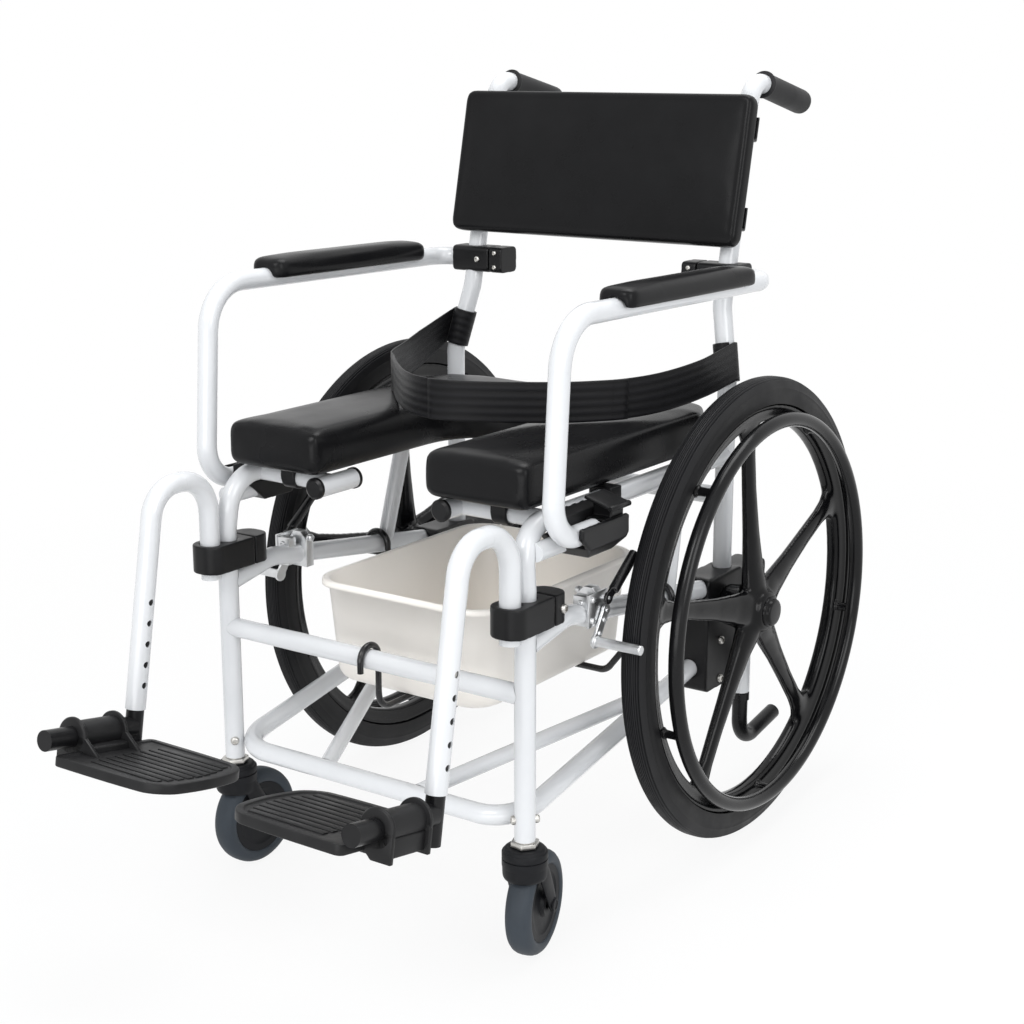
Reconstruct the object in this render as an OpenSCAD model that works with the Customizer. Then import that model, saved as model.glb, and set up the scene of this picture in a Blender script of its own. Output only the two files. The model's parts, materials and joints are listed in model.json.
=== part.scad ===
// Self-propelled shower commode chair: welded tube frame, swing-away footrests,
// flip-back armrests, lift-out pan, drive wheels with handrims and front casters.
// The chair faces -Y, +X is the user's left and +Z is up. All sizes are in millimetres.
// Frame pieces are drawn square to the front posts, with the rear axle at height wheel_r,
// and chair() then leans the whole frame back about the axle by frame_tilt.

/* [Frame] */
// Distance between the two front posts, centre to centre
frame_w = 457; // [400:1:560]
// Outside diameter of the main frame tubes
tube_d = 25.4; // [22:0.1:30]
// Wall of the tubes that hold a sliding or turning tube
tube_wall = 1.8; // [1.4:0.1:2.4]
// Outside diameter of the welded cross tubes and braces
cross_d = 24.4; // [18:0.1:26]
// Lean of the whole frame, backwards about the rear axle, in degrees
frame_tilt = 4.1; // [0:0.1:6]
// Distance of the front posts ahead of the rear axle
post_fwd = 440; // [400:1:480]
// Height of the middle front cross tube
mid_cross_z = 302; // [285:1:330]
// Height of the lower U tube at its front run
low_front_z = 146; // [140:1:165]
// Height of the lower U tube where it meets the axle blocks
low_rear_z = 222; // [212:1:240]
// Bend radius of the lower U tube at its front corners
low_bend_r = 51; // [51:1:62]
// Height of the side rails where they leave the front posts
rail_front_z = 360; // [350:1:366]
// Height of the side rails where they enter the axle blocks
rail_rear_z = 331; // [322:1:336]
// Height of the seat rails
seat_rail_z = 497; // [485:1:520]
// Distance of the back canes inside the front posts, at the seat
cane_in = 7.5; // [0.5:0.5:23]
// Distance of the back canes behind the rear axle, at the seat
cane_back = 36; // [26:1:40]
// Distance of the rear posts behind the rear axle
rear_post_back = 101; // [92:1:115]
// Height of the lower ends of the rear posts
rear_post_z = 148; // [135:1:165]

/* [Back and handles] */
// Distance of the back canes inside the front posts, behind the back pad
cane_top_in = 26.5; // [18.5:0.5:38]
// Height at which the canes start to jog inwards
jog_z = 600; // [585:1:620]
// Height at which the canes have ended their jog
jog_end_z = 690; // [680:1:700]
// Distance that the canes move back in their jog
jog_back = 16; // [10:1:22]
// Height of the corner where the canes turn into the push handles
handle_z = 978; // [960:1:1040]
// Backward lean of the upper canes and the back pad, in degrees
back_lean = 12.4; // [6:0.1:16]
// Bend radius of the canes below the push handles
handle_bend_r = 30; // [26:1:40]
// Length of each push handle from the cane's corner
handle_len = 148; // [130:1:170]
// Outside diameter of the push grips
grip_d = 33; // [30:0.5:38]
// Reach of the back pad past the front posts on each side
back_over = 0; // [-38:1:11]
// Height of the back pad, along its slope
back_h = 200; // [160:1:230]
// Thickness of the back pad
back_t = 26; // [20:1:36]
// Height of the middle of the back pad
back_mid_z = 861; // [850:1:875]

/* [Seat] */
// Reach of the seat pad past the front posts on each side
seat_over = 0; // [-28:1:12]
// Depth of the seat pad
seat_d = 457; // [430:1:470]
// Thickness of the seat pad
seat_t = 57; // [40:1:70]
// Width of the open front of the seat
opening_w = 158; // [120:1:190]
// Depth of the seat opening from the front edge
opening_d = 317; // [260:1:340]
// Height of the clips between the seat rails and the seat pad
clip_h = 3.6; // [3:0.1:8]
// Distance of the capped seat stubs from the edge of the seat's opening
stub_out = 17; // [13:1:31]

/* [Armrests] */
// Distance of the arm tubes outside the front posts
arm_out = 33.5; // [31.5:0.5:46]
// Distance of the arm tubes' uprights ahead of the rear axle
arm_fwd = 420; // [405:1:430]
// Height of the arm tubes under the pads
arm_z = 728; // [715:1:745]
// Distance of the arm tubes' lower corners ahead of their upper corners
arm_lean = 18; // [0:1:20]
// Rise of the arm tubes from their hinges to their front corners
arm_rise = 5; // [0:1:8]
// Height of the arm tubes' lower ends in their sockets
arm_foot_z = 484; // [482:1:490]
// Length of an arm pad
pad_len = 310; // [240:1:330]
// Width of an arm pad
pad_w = 52; // [44:1:58]
// Height of an arm pad
pad_h = 25; // [22:1:32]
// Diameter of the arm hinge pins
hinge_d = 16; // [12:0.5:18]

/* [Footrests] */
// Distance of the hanger pivots ahead of the front posts
hanger_fwd = 30; // [30:1:36]
// Height of the hanger tubes' top bends
hanger_top_z = 505; // [495:1:520]
// Distance from a hanger pivot forward to the corner above its leg
hanger_reach = 91; // [90:1:110]
// Forward lean of the hanger legs, in degrees
leg_lean = 10.2; // [4:0.1:14]
// Length of a hanger leg from the corner to its open end
leg_len = 268; // [255:1:285]
// Distance from the corner to the uppermost adjusting hole
first_hole = 136; // [120:1:140]
// Pitch of the adjusting holes
hole_pitch = 25.4; // [20:0.1:28]
// Diameter of the adjusting holes
hole_d = 8; // [6:0.1:9]
// Distance of a footplate's hinge below the open end of the leg
foot_drop = 22; // [20:1:40]
// Diameter of the footplate's hinge tube
foot_hinge_d = 20; // [16:0.5:21]
// Length of the hinge tube ahead of the leg
foot_hinge_len = 138; // [128:1:160]
// Length of a footplate, towards the middle of the chair
plate_len = 175; // [130:1:180]
// Depth of a footplate, front to back
plate_depth = 156; // [130:1:165]
// Thickness of a footplate
plate_t = 12; // [9:0.5:16]

/* [Wheels] */
// Radius of a drive wheel with its tyre
wheel_r = 305; // [295:1:310]
// Distance of the wheels' middle planes outside the front posts
wheel_out = 54.5; // [51.5:0.5:61]
// Width of a drive tyre
tyre_w = 32; // [26:1:34]
// Height of a drive tyre, from tread to rim
tyre_h = 35; // [28:1:40]
// Depth of the composite rim inside the tyre
rim_h = 23; // [20:1:26]
// Depth of the handrim's core under the tyre's tread
handrim_in = 52; // [45:1:53]
// Diameter of the handrim's tube
handrim_d = 19; // [16:0.5:22]
// Distance of the handrim outside the wheel's middle plane
handrim_out = 35; // [34:1:40]
// Number of spokes in a drive wheel
spokes = 5; // [3:1:8]
// Angle of the first spoke above the rearward horizontal, in degrees
spoke_turn = 95; // [0:1:360]
// Diameter of the drive wheel's axle
axle_d = 12.7; // [10:0.1:16]

/* [Casters] */
// Radius of a caster wheel
caster_r = 63.5; // [60:0.5:66]
// Width of a caster tyre
caster_w = 32; // [26:1:34]
// Distance of the caster axle behind its swivel axis
caster_trail = 31; // [28:1:33]
// Height of the post's end above the caster axle
caster_drop = 92; // [91:0.5:96]
// Turn of the left caster about its post, in degrees
caster_turn_l = 13; // [-60:1:60]
// Turn of the right caster about its post, in degrees
caster_turn_r = -3; // [-60:1:60]
// Diameter of the caster stem below the post
stem_d = 16; // [12:0.5:18]

/* [Pan] */
// Width of the pan over its rim
pan_w = 276; // [240:1:290]
// Length of the pan over its rim
pan_len = 360; // [320:1:370]
// Height of the pan
pan_h = 132; // [110:1:134]
// Wall of the pan
pan_wall = 3; // [2:0.5:5]
// Distance of the pan's front rim ahead of the rear axle
pan_fwd = 391; // [380:1:400]
// Diameter of the pan rack's rods
rack_d = 9; // [7:0.5:10]

/* [Brakes and belt] */
// Distance of the brake clamps ahead of the rear axle
brake_fwd = 312; // [308:1:322]
// Diameter of the brake pegs
peg_d = 12; // [9:0.5:13]
// Diameter of the brake levers' sleeves
lever_d = 13; // [10:0.5:15]
// Width of the belt's webbing
belt_w = 50; // [38:1:52]
// Thickness of the belt's webbing
belt_t = 2.4; // [1.6:0.2:3]

/* [Hidden] */
$fn = 64;

// Running clearance of a turning or sliding fit, on the radius
fit = 0.05;
// Clearance between a tube's end and the tube that it is welded to
weld_gap = 0.3;
// Clearance between pieces that move past each other
run_gap = 0.5;
// Step in diameter between a bent tube's straight stretches and its bends, and their overlap
bend_step = 0.3;
bend_lap = 0.8;
// Diameter of the shanks and the heads of the frame's bolts
bolt_d = 6;
bolt_head_d = 11;
bolt_head_h = 4;

// Front posts, seat rails and canes
post_x = frame_w / 2;
post_y = -post_fwd;
cane_x = post_x - cane_in;
cane_top_x = post_x - cane_top_in;
arm_x = post_x + arm_out;
wheel_x = post_x + wheel_out;
handrim_r = wheel_r - handrim_in;
seat_w = frame_w + 2 * seat_over;
back_w = frame_w + 2 * back_over;
stub_x = opening_w / 2 + stub_out;
turn_cos = max(cos(caster_turn_l), cos(caster_turn_r));
caster_z = wheel_r + (caster_r + 0.2 - wheel_r + (caster_trail * turn_cos - post_fwd) * sin(frame_tilt))
    / cos(frame_tilt);
post_z = caster_z + caster_drop;
block_z = 381;
block_h = 36;
knee_z = block_z + block_h + 11;
knee_step = 4;
seat_bend_r = 45;
side_path = [[post_x, post_y, post_z], [post_x, post_y, knee_z],
    [cane_x, post_y + knee_step, seat_rail_z], [cane_x, cane_back, seat_rail_z]];
jog_r = 60;
cane_z = wheel_r + axle_d / 2 + 3;
top_y = cane_back + jog_back + (handle_z - jog_end_z) * tan(back_lean);
back_up = [0, sin(back_lean), cos(back_lean)];
back_out = [0, cos(back_lean), -sin(back_lean)];
cane_top = [cane_top_x, top_y, handle_z];
handle_end = cane_top + back_out * handle_len;
cane_path = [[cane_x, cane_back, cane_z], [cane_x, cane_back, jog_z],
    [cane_top_x, cane_back + jog_back, jog_end_z], cane_top, handle_end];
grip_end = 3;
grip_len = handle_len - handle_bend_r - 1;

// Lower tubes and side rails
low_x = post_x - 11.5;
low_y = post_y - 7;
rail_top_z = rail_front_z + 16;
rail_top_y = post_y + 80;
rail_end_y = -14;
rail_slope = (rail_rear_z - rail_top_z) / (-42 - rail_top_y);
function rail_z(y) = rail_top_z + rail_slope * (y - rail_top_y);
low_slope = (low_rear_z - low_front_z) / (-30 - low_y);
function low_z(y) = low_front_z + low_slope * (y - low_y);
rail_path = [[post_x, post_y, rail_front_z], [post_x, rail_top_y, rail_top_z],
    [post_x, rail_end_y, rail_z(rail_end_y)]];
low_end_y = -14;
low_path = [[-low_x, low_end_y, low_z(low_end_y)], [-low_x, low_y, low_front_z],
    [low_x, low_y, low_front_z], [low_x, low_end_y, low_z(low_end_y)]];
brace_d = 20;
strut_d = 22;
stub_d = 22.2;
arm_stub_x = post_x + 7.5;
arm_stub_z = seat_rail_z - 27;
lateral_y = post_y + 56;
seat_stub_len = 68;
rear_cross_z = seat_rail_z - 57;

// Axle blocks
axle_in = cane_x - tube_d / 2 - 7;
axle_out = post_x + tube_d / 2 + 3;
axle_front = -42;
axle_low = low_z(axle_front) - cross_d / 2 - 18;
axle_top = wheel_r + 40;
axle_back = cane_back + tube_d / 2 + 4;
rear_hold = rear_post_back + tube_d / 2 + 6;
hold_z = axle_top - 45;
hub_r = 30;
hub_in = axle_out + 3;
hub_out = wheel_x + 30;

// Armrests
arm_y = cane_back + jog_back + (arm_z - jog_end_z) * tan(back_lean);
pivot_h = 36;
pivot_d = 39;
pivot_in = cane_top_x - 57;
pivot_out = cane_top_x + 28;
arm_end_x = pivot_out + run_gap;
hinge_len = 14;
arm_corner_z = arm_z + arm_rise;
arm_end_y = -arm_fwd + 68;
arm_path = [[arm_x, arm_end_y, arm_foot_z], [arm_x, -arm_fwd - arm_lean, arm_foot_z],
    [arm_x, -arm_fwd, arm_corner_z], [arm_x, arm_y, arm_z], [arm_end_x, arm_y, arm_z]];
arm_turn = arm_x - arm_end_x - 2;
arm_fall = atan2(arm_rise, arm_y + arm_fwd);
pad_front = -arm_fwd + 102;
pad_wrap = 12;
socket_front = -arm_fwd + 16;
socket_back = socket_front + 99;
socket_low = arm_stub_z - stub_d / 2 - 3;
socket_top = arm_foot_z + 25;
socket_in = arm_stub_x - stub_d / 2 - 3;
socket_out = arm_x + tube_d / 2 + 7;
latch_y = socket_back - 20;
latch_z = arm_foot_z;
latch_pin_d = 6;

// Footrests
hang_y = post_y - hanger_fwd;
leg_dir = [0, -sin(leg_lean), -cos(leg_lean)];
foot_dir = [0, -cos(leg_lean), sin(leg_lean)];
leg_top = [post_x, hang_y - hanger_reach, hanger_top_z];
hang_r = 47;
hang_low = block_z - 9;
hang_path = [[post_x, hang_y, hang_low], [post_x, hang_y, hanger_top_z], leg_top, leg_top + leg_dir * leg_len];
leg_bore = tube_d - 2 * tube_wall;
ext_d = leg_bore - 2 * fit;
ext_top = first_hole - 18;
foot_at = leg_len + foot_drop;
foot_point = leg_top + leg_dir * foot_at;
ext_tail = 35;
button_d = hole_d - 0.6;
button_len = 9;
barrel_at = 30;
barrel_len = 70;
barrel_d = foot_hinge_d + 14;
flange_d = barrel_d + 12;
flange_t = 6;
plate_top = tube_d / 2 + 1.5;
plate_side = tube_d / 2 + 0.5;
plate_back = plate_depth - foot_hinge_len;

// Casters
stem_in = 60;
nut_h = 8;
stem_out = nut_h + 23;
fork_top = post_z - nut_h - run_gap;
fork_d = 54;
fork_gap = 2.5;
fork_leg = 6.5;
caster_axle_d = 8;
stem_bolt_z = post_z + 25;
stem_bolt_dir = [sqrt(0.5), sqrt(0.5), 0];

// Brakes
brake_y = -brake_fwd;
brake_z = rail_z(brake_y);
clamp_out = post_x + tube_d / 2 + 4;
shoe_at = [brake_y + 12, brake_z + 3];
lever_at = [brake_y + 10, brake_z + 19];
peg_at = [brake_y - 10, brake_z - 30];
brake_t = 4;
lever_tip = [lever_at[0] + 55, lever_at[1] + 43];
brake_pin_d = 6;

// Seat, pan and belt
seat_low = seat_rail_z + tube_d / 2 + clip_h;
seat_front = post_y + 2;
seat_back = seat_front + seat_d;
pan_z = brake_z;
pan_low = pan_z - pan_h;
pan_taper = 17;
rack_z = pan_low - run_gap - rack_d / 2;
rack_y = -140;
rack_x = post_x - 78.5;
belt_z = seat_low + seat_t + 4 + belt_w / 2;

// Distance that centres the whole chair, front to back
front_end = (foot_point + foot_dir * (foot_hinge_len + 2))[1] * cos(frame_tilt)
    + ((foot_point + foot_dir * (foot_hinge_len + 2))[2] - wheel_r + foot_hinge_d / 2) * sin(frame_tilt);
grip_tip = handle_end + back_out * grip_end;
rear_end = max(wheel_r, grip_tip[1] * cos(frame_tilt) + (grip_tip[2] - wheel_r + grip_d / 2) * sin(frame_tilt));
mid_y = (front_end + rear_end) / 2;

function unit(v) = v / norm(v);
function corner(a, b, c) = acos(unit(a - b) * unit(c - b));
function setback(a, b, c, r) = r / tan(corner(a, b, c) / 2);

// Places what is drawn square to the front posts on the floor, leaning back about the axle
module chair() {
    translate([0, -mid_y, wheel_r])
        rotate([-frame_tilt, 0, 0])
            translate([0, 0, -wheel_r])
                children();
}

module both() {
    children();
    mirror([1, 0, 0]) children();
}

module on_right() {
    mirror([1, 0, 0]) children();
}

// Straight round bar between two points
module rod(a, b, d) {
    v = b - a;
    translate(a)
        rotate([0, acos(v[2] / norm(v)), atan2(v[1], v[0])])
            cylinder(d = d, h = norm(v));
}

// Bend of a round bar at point b, on the way from a to c
module elbow(a, b, c, r, d) {
    u = unit(a - b);
    v = unit(c - b);
    g = corner(a, b, c);
    t = r / tan(g / 2);
    o = b + unit(u + v) * r / sin(g / 2);
    x = unit(b + u * t - o);
    e = unit(b + v * t - o);
    z = unit(cross(x, e));
    y = cross(z, x);
    multmatrix([[x[0], y[0], z[0], o[0]], [x[1], y[1], z[1], o[1]], [x[2], y[2], z[2], o[2]], [0, 0, 0, 1]])
        rotate_extrude(angle = 180 - g)
            translate([r, 0])
                circle(d = d);
}

// Round bar through a list of points, with a bend radius at each inner point.
// The straight stretches are thinner by bend_step and reach a little into the bends.
module bent(p, r, d) {
    n = len(p) - 1;
    for (i = [0:n - 1]) {
        u = unit(p[i + 1] - p[i]);
        s = i == 0 ? 0 : setback(p[i - 1], p[i], p[i + 1], r[i - 1]) - bend_lap;
        e = i == n - 1 ? 0 : setback(p[i], p[i + 1], p[i + 2], r[i]) - bend_lap;
        rod(p[i] + u * s, p[i + 1] - u * e, d - bend_step);
    }
    for (i = [1:n - 1])
        elbow(p[i - 1], p[i], p[i + 1], r[i - 1], d);
}

// Flat outline with rounded corners
module slab(w, h, r) {
    square([w - 2 * r, h], center = true);
    square([w, h - 2 * r], center = true);
    for (x = [-1, 1])
        for (y = [-1, 1])
            translate([x * (w / 2 - r), y * (h / 2 - r)])
                circle(r = r);
}

// Block along X between two distances, with a rounded outline across Y and Z
module block_x(x0, x1, y, z, w, h, r) {
    translate([x0, y, z])
        rotate([90, 0, 90])
            linear_extrude(x1 - x0)
                slab(w, h, r);
}

// Outline of a rounded rectangle as points, with n steps at each corner
function loop_points(w, l, r, n, z) = [for (c = [0:3]) for (k = [0:n])
    let (a = 90 * c + 90 * k / n)
        [(c == 0 || c == 3 ? 1 : -1) * (w / 2 - r) + r * cos(a), (c < 2 ? 1 : -1) * (l / 2 - r) + r * sin(a), z]];

// Triangles between neighbouring rings of m points, with a fan at each end
function skin_faces(rings, m) = concat(
    [for (k = [0:rings - 2]) for (i = [0:m - 1]) [k * m + i, (k + 1) * m + i, k * m + (i + 1) % m]],
    [for (k = [0:rings - 2]) for (i = [0:m - 1])
        [k * m + (i + 1) % m, (k + 1) * m + i, (k + 1) * m + (i + 1) % m]],
    [for (i = [1:m - 2]) [0, i, i + 1]],
    [for (i = [1:m - 2]) [(rings - 1) * m, (rings - 1) * m + i + 1, (rings - 1) * m + i]]);

// Soft pad as rings of [height, inset], lying flat with its crown up
module pillow(w, l, r, n, rings) {
    pts = [for (g = rings) each loop_points(w - 2 * g[1], l - 2 * g[1], max(r - g[1], 3), n, g[0])];
    polyhedron(points = pts, faces = skin_faces(len(rings), 4 * (n + 1)));
}

// Straight stretches of the frame's tubes, with a clearance, for what meets them
module post_room(gap) {
    rod([post_x, post_y, post_z - 40], [post_x, post_y, knee_z], tube_d + 2 * gap);
}

module cane_room(gap) {
    rod([cane_x, cane_back, cane_z], [cane_x, cane_back, jog_z], tube_d + 2 * gap);
}

module upper_cane_room(gap) {
    rod([cane_top_x, cane_back + jog_back, jog_end_z] - back_up * 8, cane_top, tube_d + 2 * gap);
}

module seat_rail_room(gap) {
    rod([cane_x, post_y + knee_step, seat_rail_z], [cane_x, cane_back, seat_rail_z], tube_d + 2 * gap);
}

module side_rail_room(gap) {
    rod([post_x, rail_top_y, rail_top_z], [post_x, rail_end_y, rail_z(rail_end_y)], tube_d + 2 * gap);
}

module rail_front_room(gap) {
    rod([post_x, post_y, rail_front_z], [post_x, rail_top_y, rail_top_z], tube_d + 2 * gap);
}

module low_arm_room(gap) {
    rod([low_x, low_y, low_front_z], [low_x, low_end_y, low_z(low_end_y)], cross_d + 2 * gap);
}

module stem_bolt_room(gap) {
    c = [post_x, post_y, stem_bolt_z];
    rod(c - stem_bolt_dir * 30, c + stem_bolt_dir * 30, bolt_d + 2 * gap);
}

module side_frames() {
    color("white")
        chair() both() difference() {
            bent(side_path, [seat_bend_r, seat_bend_r], tube_d);
            translate([post_x, post_y, post_z - 1])
                cylinder(d = tube_d - 2 * tube_wall, h = stem_in + 1);
            stem_bolt_room(fit);
            cane_room(weld_gap);
        }
}

module side_rails() {
    color("white")
        chair() both() difference() {
            bent(rail_path, [seat_bend_r], tube_d - 0.4);
            post_room(weld_gap);
        }
}

module arm_stubs() {
    color("white")
        chair() both() difference() {
            rod([arm_stub_x, post_y + 8, arm_stub_z], [arm_stub_x, socket_back - 30, arm_stub_z], stub_d);
            elbow(side_path[1], side_path[2], side_path[3], seat_bend_r, tube_d + 2 * weld_gap);
            rod(side_path[1], side_path[2], tube_d + 2 * weld_gap);
        }
}

module mid_cross() {
    color("white")
        chair() difference() {
            rod([-post_x, post_y, mid_cross_z], [post_x, post_y, mid_cross_z], cross_d);
            both() post_room(weld_gap);
        }
}

module lower_u() {
    color("white")
        chair() bent(low_path, [low_bend_r, low_bend_r], cross_d);
}

module braces() {
    a = [0.3226 * low_x, low_y, low_front_z];
    b = [low_x, axle_front - 48, low_z(axle_front - 48)];
    color("white")
        chair() both() difference() {
            rod(a, b, brace_d);
            rod([-low_x, low_y, low_front_z], [low_x, low_y, low_front_z], cross_d + 2 * weld_gap);
            low_arm_room(weld_gap);
        }
}

module rear_cross() {
    color("white")
        chair() difference() {
            rod([-cane_x, cane_back, rear_cross_z], [cane_x, cane_back, rear_cross_z], cross_d);
            both() cane_room(weld_gap);
        }
}

module rear_posts() {
    color("white")
        chair() both() translate([cane_x, rear_post_back, 0]) difference() {
            translate([0, 0, rear_post_z]) cylinder(d = tube_d, h = axle_top - 8 - rear_post_z);
            translate([0, 0, rear_post_z - 1]) cylinder(d = leg_bore, h = 71);
        }
}

module struts() {
    color("white")
        chair() both() difference() {
            rod([post_x, axle_front - 83, rail_z(axle_front - 83)], [cane_x, axle_front - 43, seat_rail_z], strut_d);
            side_rail_room(weld_gap);
            seat_rail_room(weld_gap);
        }
}

module seat_stubs() {
    z = seat_rail_z - 1;
    color("white")
        chair() both() difference() {
            union() {
                rod([stub_x, lateral_y - seat_stub_len / 2, z], [stub_x, lateral_y + seat_stub_len / 2, z], tube_d - 0.4);
                rod([stub_x, lateral_y, z], [cane_x, lateral_y, z], stub_d);
            }
            seat_rail_room(weld_gap);
        }
}

module end_caps() {
    z = seat_rail_z - 1;
    color("black")
        chair() both()
            for (s = [-1, 1])
                translate([stub_x, lateral_y + s * seat_stub_len / 2, z])
                    rotate([-90 * s, 0, 0]) {
                        cylinder(d = tube_d + 1.6, h = 4);
                        translate([0, 0, 4]) cylinder(d1 = tube_d + 1.6, d2 = tube_d - 5, h = 2.5);
                    }
}

module axle_blocks() {
    wide = axle_back - axle_front;
    tall = axle_top - axle_low;
    color("black")
        chair() both() difference() {
            union() {
                block_x(axle_in, axle_out, (axle_front + axle_back) / 2, (axle_top + axle_low) / 2, wide, tall, 8);
                block_x(axle_in, axle_out, (axle_front + 12 + rear_hold) / 2, (axle_top - 4 + hold_z) / 2,
                    rear_hold - axle_front - 12, axle_top - 4 - hold_z, 8);
            }
            rod([axle_in - 1, 0, wheel_r], [axle_out + 1, 0, wheel_r], axle_d + 2 * fit);
            side_rail_room(fit);
            low_arm_room(fit);
            cane_room(fit);
            translate([cane_x, rear_post_back, hold_z - 1])
                cylinder(d = tube_d + 2 * fit, h = axle_top - 8 - hold_z + 1);
            for (z = [axle_low + 12, wheel_r - 50])
                rod([axle_out - 10, -5, z], [axle_out + 1, -5, z], bolt_d + 2 * fit);
        }
}

module axles() {
    color("silver")
        chair() both() {
            rod([axle_in - 6, 0, wheel_r], [hub_out - 4, 0, wheel_r], axle_d);
            translate([axle_in - 8, 0, wheel_r]) rotate([0, 90, 0]) cylinder(d = 22, h = 8, $fn = 6);
        }
}

module hanger_blocks() {
    front = hang_y - 19;
    back = post_y + 59;
    color("black")
        chair() both() difference() {
            translate([post_x, (front + back) / 2, block_z]) linear_extrude(block_h) slab(46, back - front, 19);
            post_room(fit);
            rail_front_room(weld_gap);
            translate([post_x, hang_y, block_z - 1]) cylinder(d = tube_d + 2 * fit, h = block_h + 2);
            translate([post_x + 20, post_y + 27, block_z - 1]) cube([4, 1.6, block_h + 2]);
            rod([post_x + 13, post_y + 43, block_z + block_h / 2], [post_x + 24, post_y + 43, block_z + block_h / 2],
                bolt_d + 2 * fit);
        }
}

module bolt(p, dir, len) {
    rod(p, p + dir * bolt_head_h, bolt_head_d);
    rod(p - dir * len, p, bolt_d);
}

module frame_bolts() {
    c = [post_x, post_y, stem_bolt_z];
    color("dimgray")
        chair() both() {
            for (z = [axle_low + 12, wheel_r - 50])
                bolt([axle_out, -5, z], [1, 0, 0], 9);
            bolt([post_x + 23, post_y + 43, block_z + block_h / 2], [1, 0, 0], 9);
            bolt(c - stem_bolt_dir * (tube_d / 2 + 0.2), -stem_bolt_dir, tube_d + 6);
            rod(c + stem_bolt_dir * (tube_d / 2 + 0.2), c + stem_bolt_dir * (tube_d / 2 + 5), bolt_head_d - 1);
        }
}

module canes() {
    color("white")
        chair() both() bent(cane_path, [jog_r, jog_r, handle_bend_r], tube_d);
}

module grips() {
    start = handle_end - back_out * grip_len;
    color("black")
        chair() both() difference() {
            union() {
                rod(start, handle_end + back_out * grip_end, grip_d);
                rod(start - back_out * 0.1, start + back_out * 5, grip_d + 3);
            }
            rod(cane_top, handle_end, tube_d + 2 * fit);
        }
}

// Middle of the back pad's rear face, ahead of the canes by the thickness of the brackets
back_seat = tube_d / 2 + 2.5;
back_mid_y = cane_back + jog_back + (back_mid_z - jog_end_z) * tan(back_lean) - back_seat / cos(back_lean);

module on_back() {
    translate([0, back_mid_y, back_mid_z])
        rotate([-back_lean, 0, 0])
            children();
}

module back_pad() {
    color([0.1, 0.1, 0.1])
        chair() on_back() rotate([90, 0, 0])
            pillow(back_w, back_h, 14, 6, [[0, 4], [3, 0.8], [7, 0], [back_t - 9, 0], [back_t - 4, 1.2],
                [back_t - 1.4, 4.2], [back_t - 0.6, 7], [back_t - 1.6, 9.5], [back_t - 1.2, 12],
                [back_t - 0.4, 30], [back_t + 0.8, 62], [back_t + 1.2, 88]]);
}

module back_brackets() {
    color("black")
        chair() on_back() both()
            for (z = [-back_h / 2 + 42, back_h / 2 - 42])
                translate([cane_top_x, 0, z]) difference() {
                    union() {
                        translate([-26, 0, -14]) cube([52, 2.2, 28]);
                        translate([0, back_seat, -14]) cylinder(d = tube_d + 8, h = 28);
                    }
                    translate([-40, -20, -15]) cube([80, 20, 30]);
                    translate([0, back_seat, -15]) cylinder(d = tube_d + 2 * fit, h = 30);
                }
}

module pivot_blocks() {
    color("black")
        chair() both() difference() {
            block_x(pivot_in, pivot_out, arm_y, arm_z, pivot_d, pivot_h, 7);
            upper_cane_room(fit);
            rod([pivot_out - hinge_len - 1, arm_y, arm_z], [pivot_out + 1, arm_y, arm_z], hinge_d + 2 * fit);
            translate([pivot_in + 22, arm_y - pivot_d, arm_z - pivot_h]) cube([1.6, 2 * pivot_d, pivot_h / 2 + 3]);
        }
}

module arm_tube_side() {
    bent(arm_path, [45, 60, arm_turn], tube_d);
    rod([arm_end_x - hinge_len, arm_y, arm_z], [arm_end_x + 1, arm_y, arm_z], hinge_d);
}

module arm_tube_l() {
    color("white") chair() arm_tube_side();
}

module arm_tube_r() {
    color("white") chair() on_right() arm_tube_side();
}

module arm_pad_side() {
    difference() {
        translate([arm_x, arm_y, arm_z])
            rotate([-arm_fall, 0, 0])
                translate([0, pad_front - arm_y + pad_len / 2, tube_d / 2 - pad_wrap])
                    pillow(pad_w, pad_len, 15, 6, [[0, 3], [2, 0.8], [5, 0], [pad_h - 11, 0], [pad_h - 6, 1],
                        [pad_h - 2.6, 3.6], [pad_h - 1, 8], [pad_h, 15], [pad_h + 0.4, 22]]);
        rod([arm_x, -arm_fwd, arm_corner_z], [arm_x, arm_y, arm_z], tube_d + 2 * fit);
    }
}

module arm_pad_l() {
    color([0.1, 0.1, 0.1]) chair() arm_pad_side();
}

module arm_pad_r() {
    color([0.1, 0.1, 0.1]) chair() on_right() arm_pad_side();
}

module arm_sockets() {
    slot = tube_d + 2 * run_gap;
    color("black")
        chair() both() {
            difference() {
                translate([socket_in, socket_front, socket_low])
                    cube([socket_out - socket_in, socket_back - socket_front, socket_top - socket_low]);
                translate([arm_x - slot / 2, socket_front - 1, arm_foot_z - slot / 2])
                    cube([slot, socket_back - socket_front + 2, socket_top]);
                rod([arm_stub_x, socket_front - 1, arm_stub_z], [arm_stub_x, socket_back - 30, arm_stub_z],
                    stub_d + 2 * fit);
                seat_rail_room(2);
            }
            rod([arm_x - slot / 2 - 3, latch_y, latch_z], [socket_out, latch_y, latch_z], latch_pin_d);
        }
}

module arm_latch_side() {
    w = tube_d - 0.4;
    difference() {
        translate([arm_x - w / 2, latch_y, latch_z])
            rotate([90, 0, 90])
                linear_extrude(w) {
                    circle(r = 9);
                    translate([-24, 0]) square([24, 12]);
                    translate([-9, 6]) square([27, 22]);
                }
        rod([arm_x - w, latch_y, latch_z], [arm_x + w, latch_y, latch_z], latch_pin_d + 2 * fit);
    }
}

module arm_latch_l() {
    color("black") chair() arm_latch_side();
}

module arm_latch_r() {
    color("black") chair() on_right() arm_latch_side();
}

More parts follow.
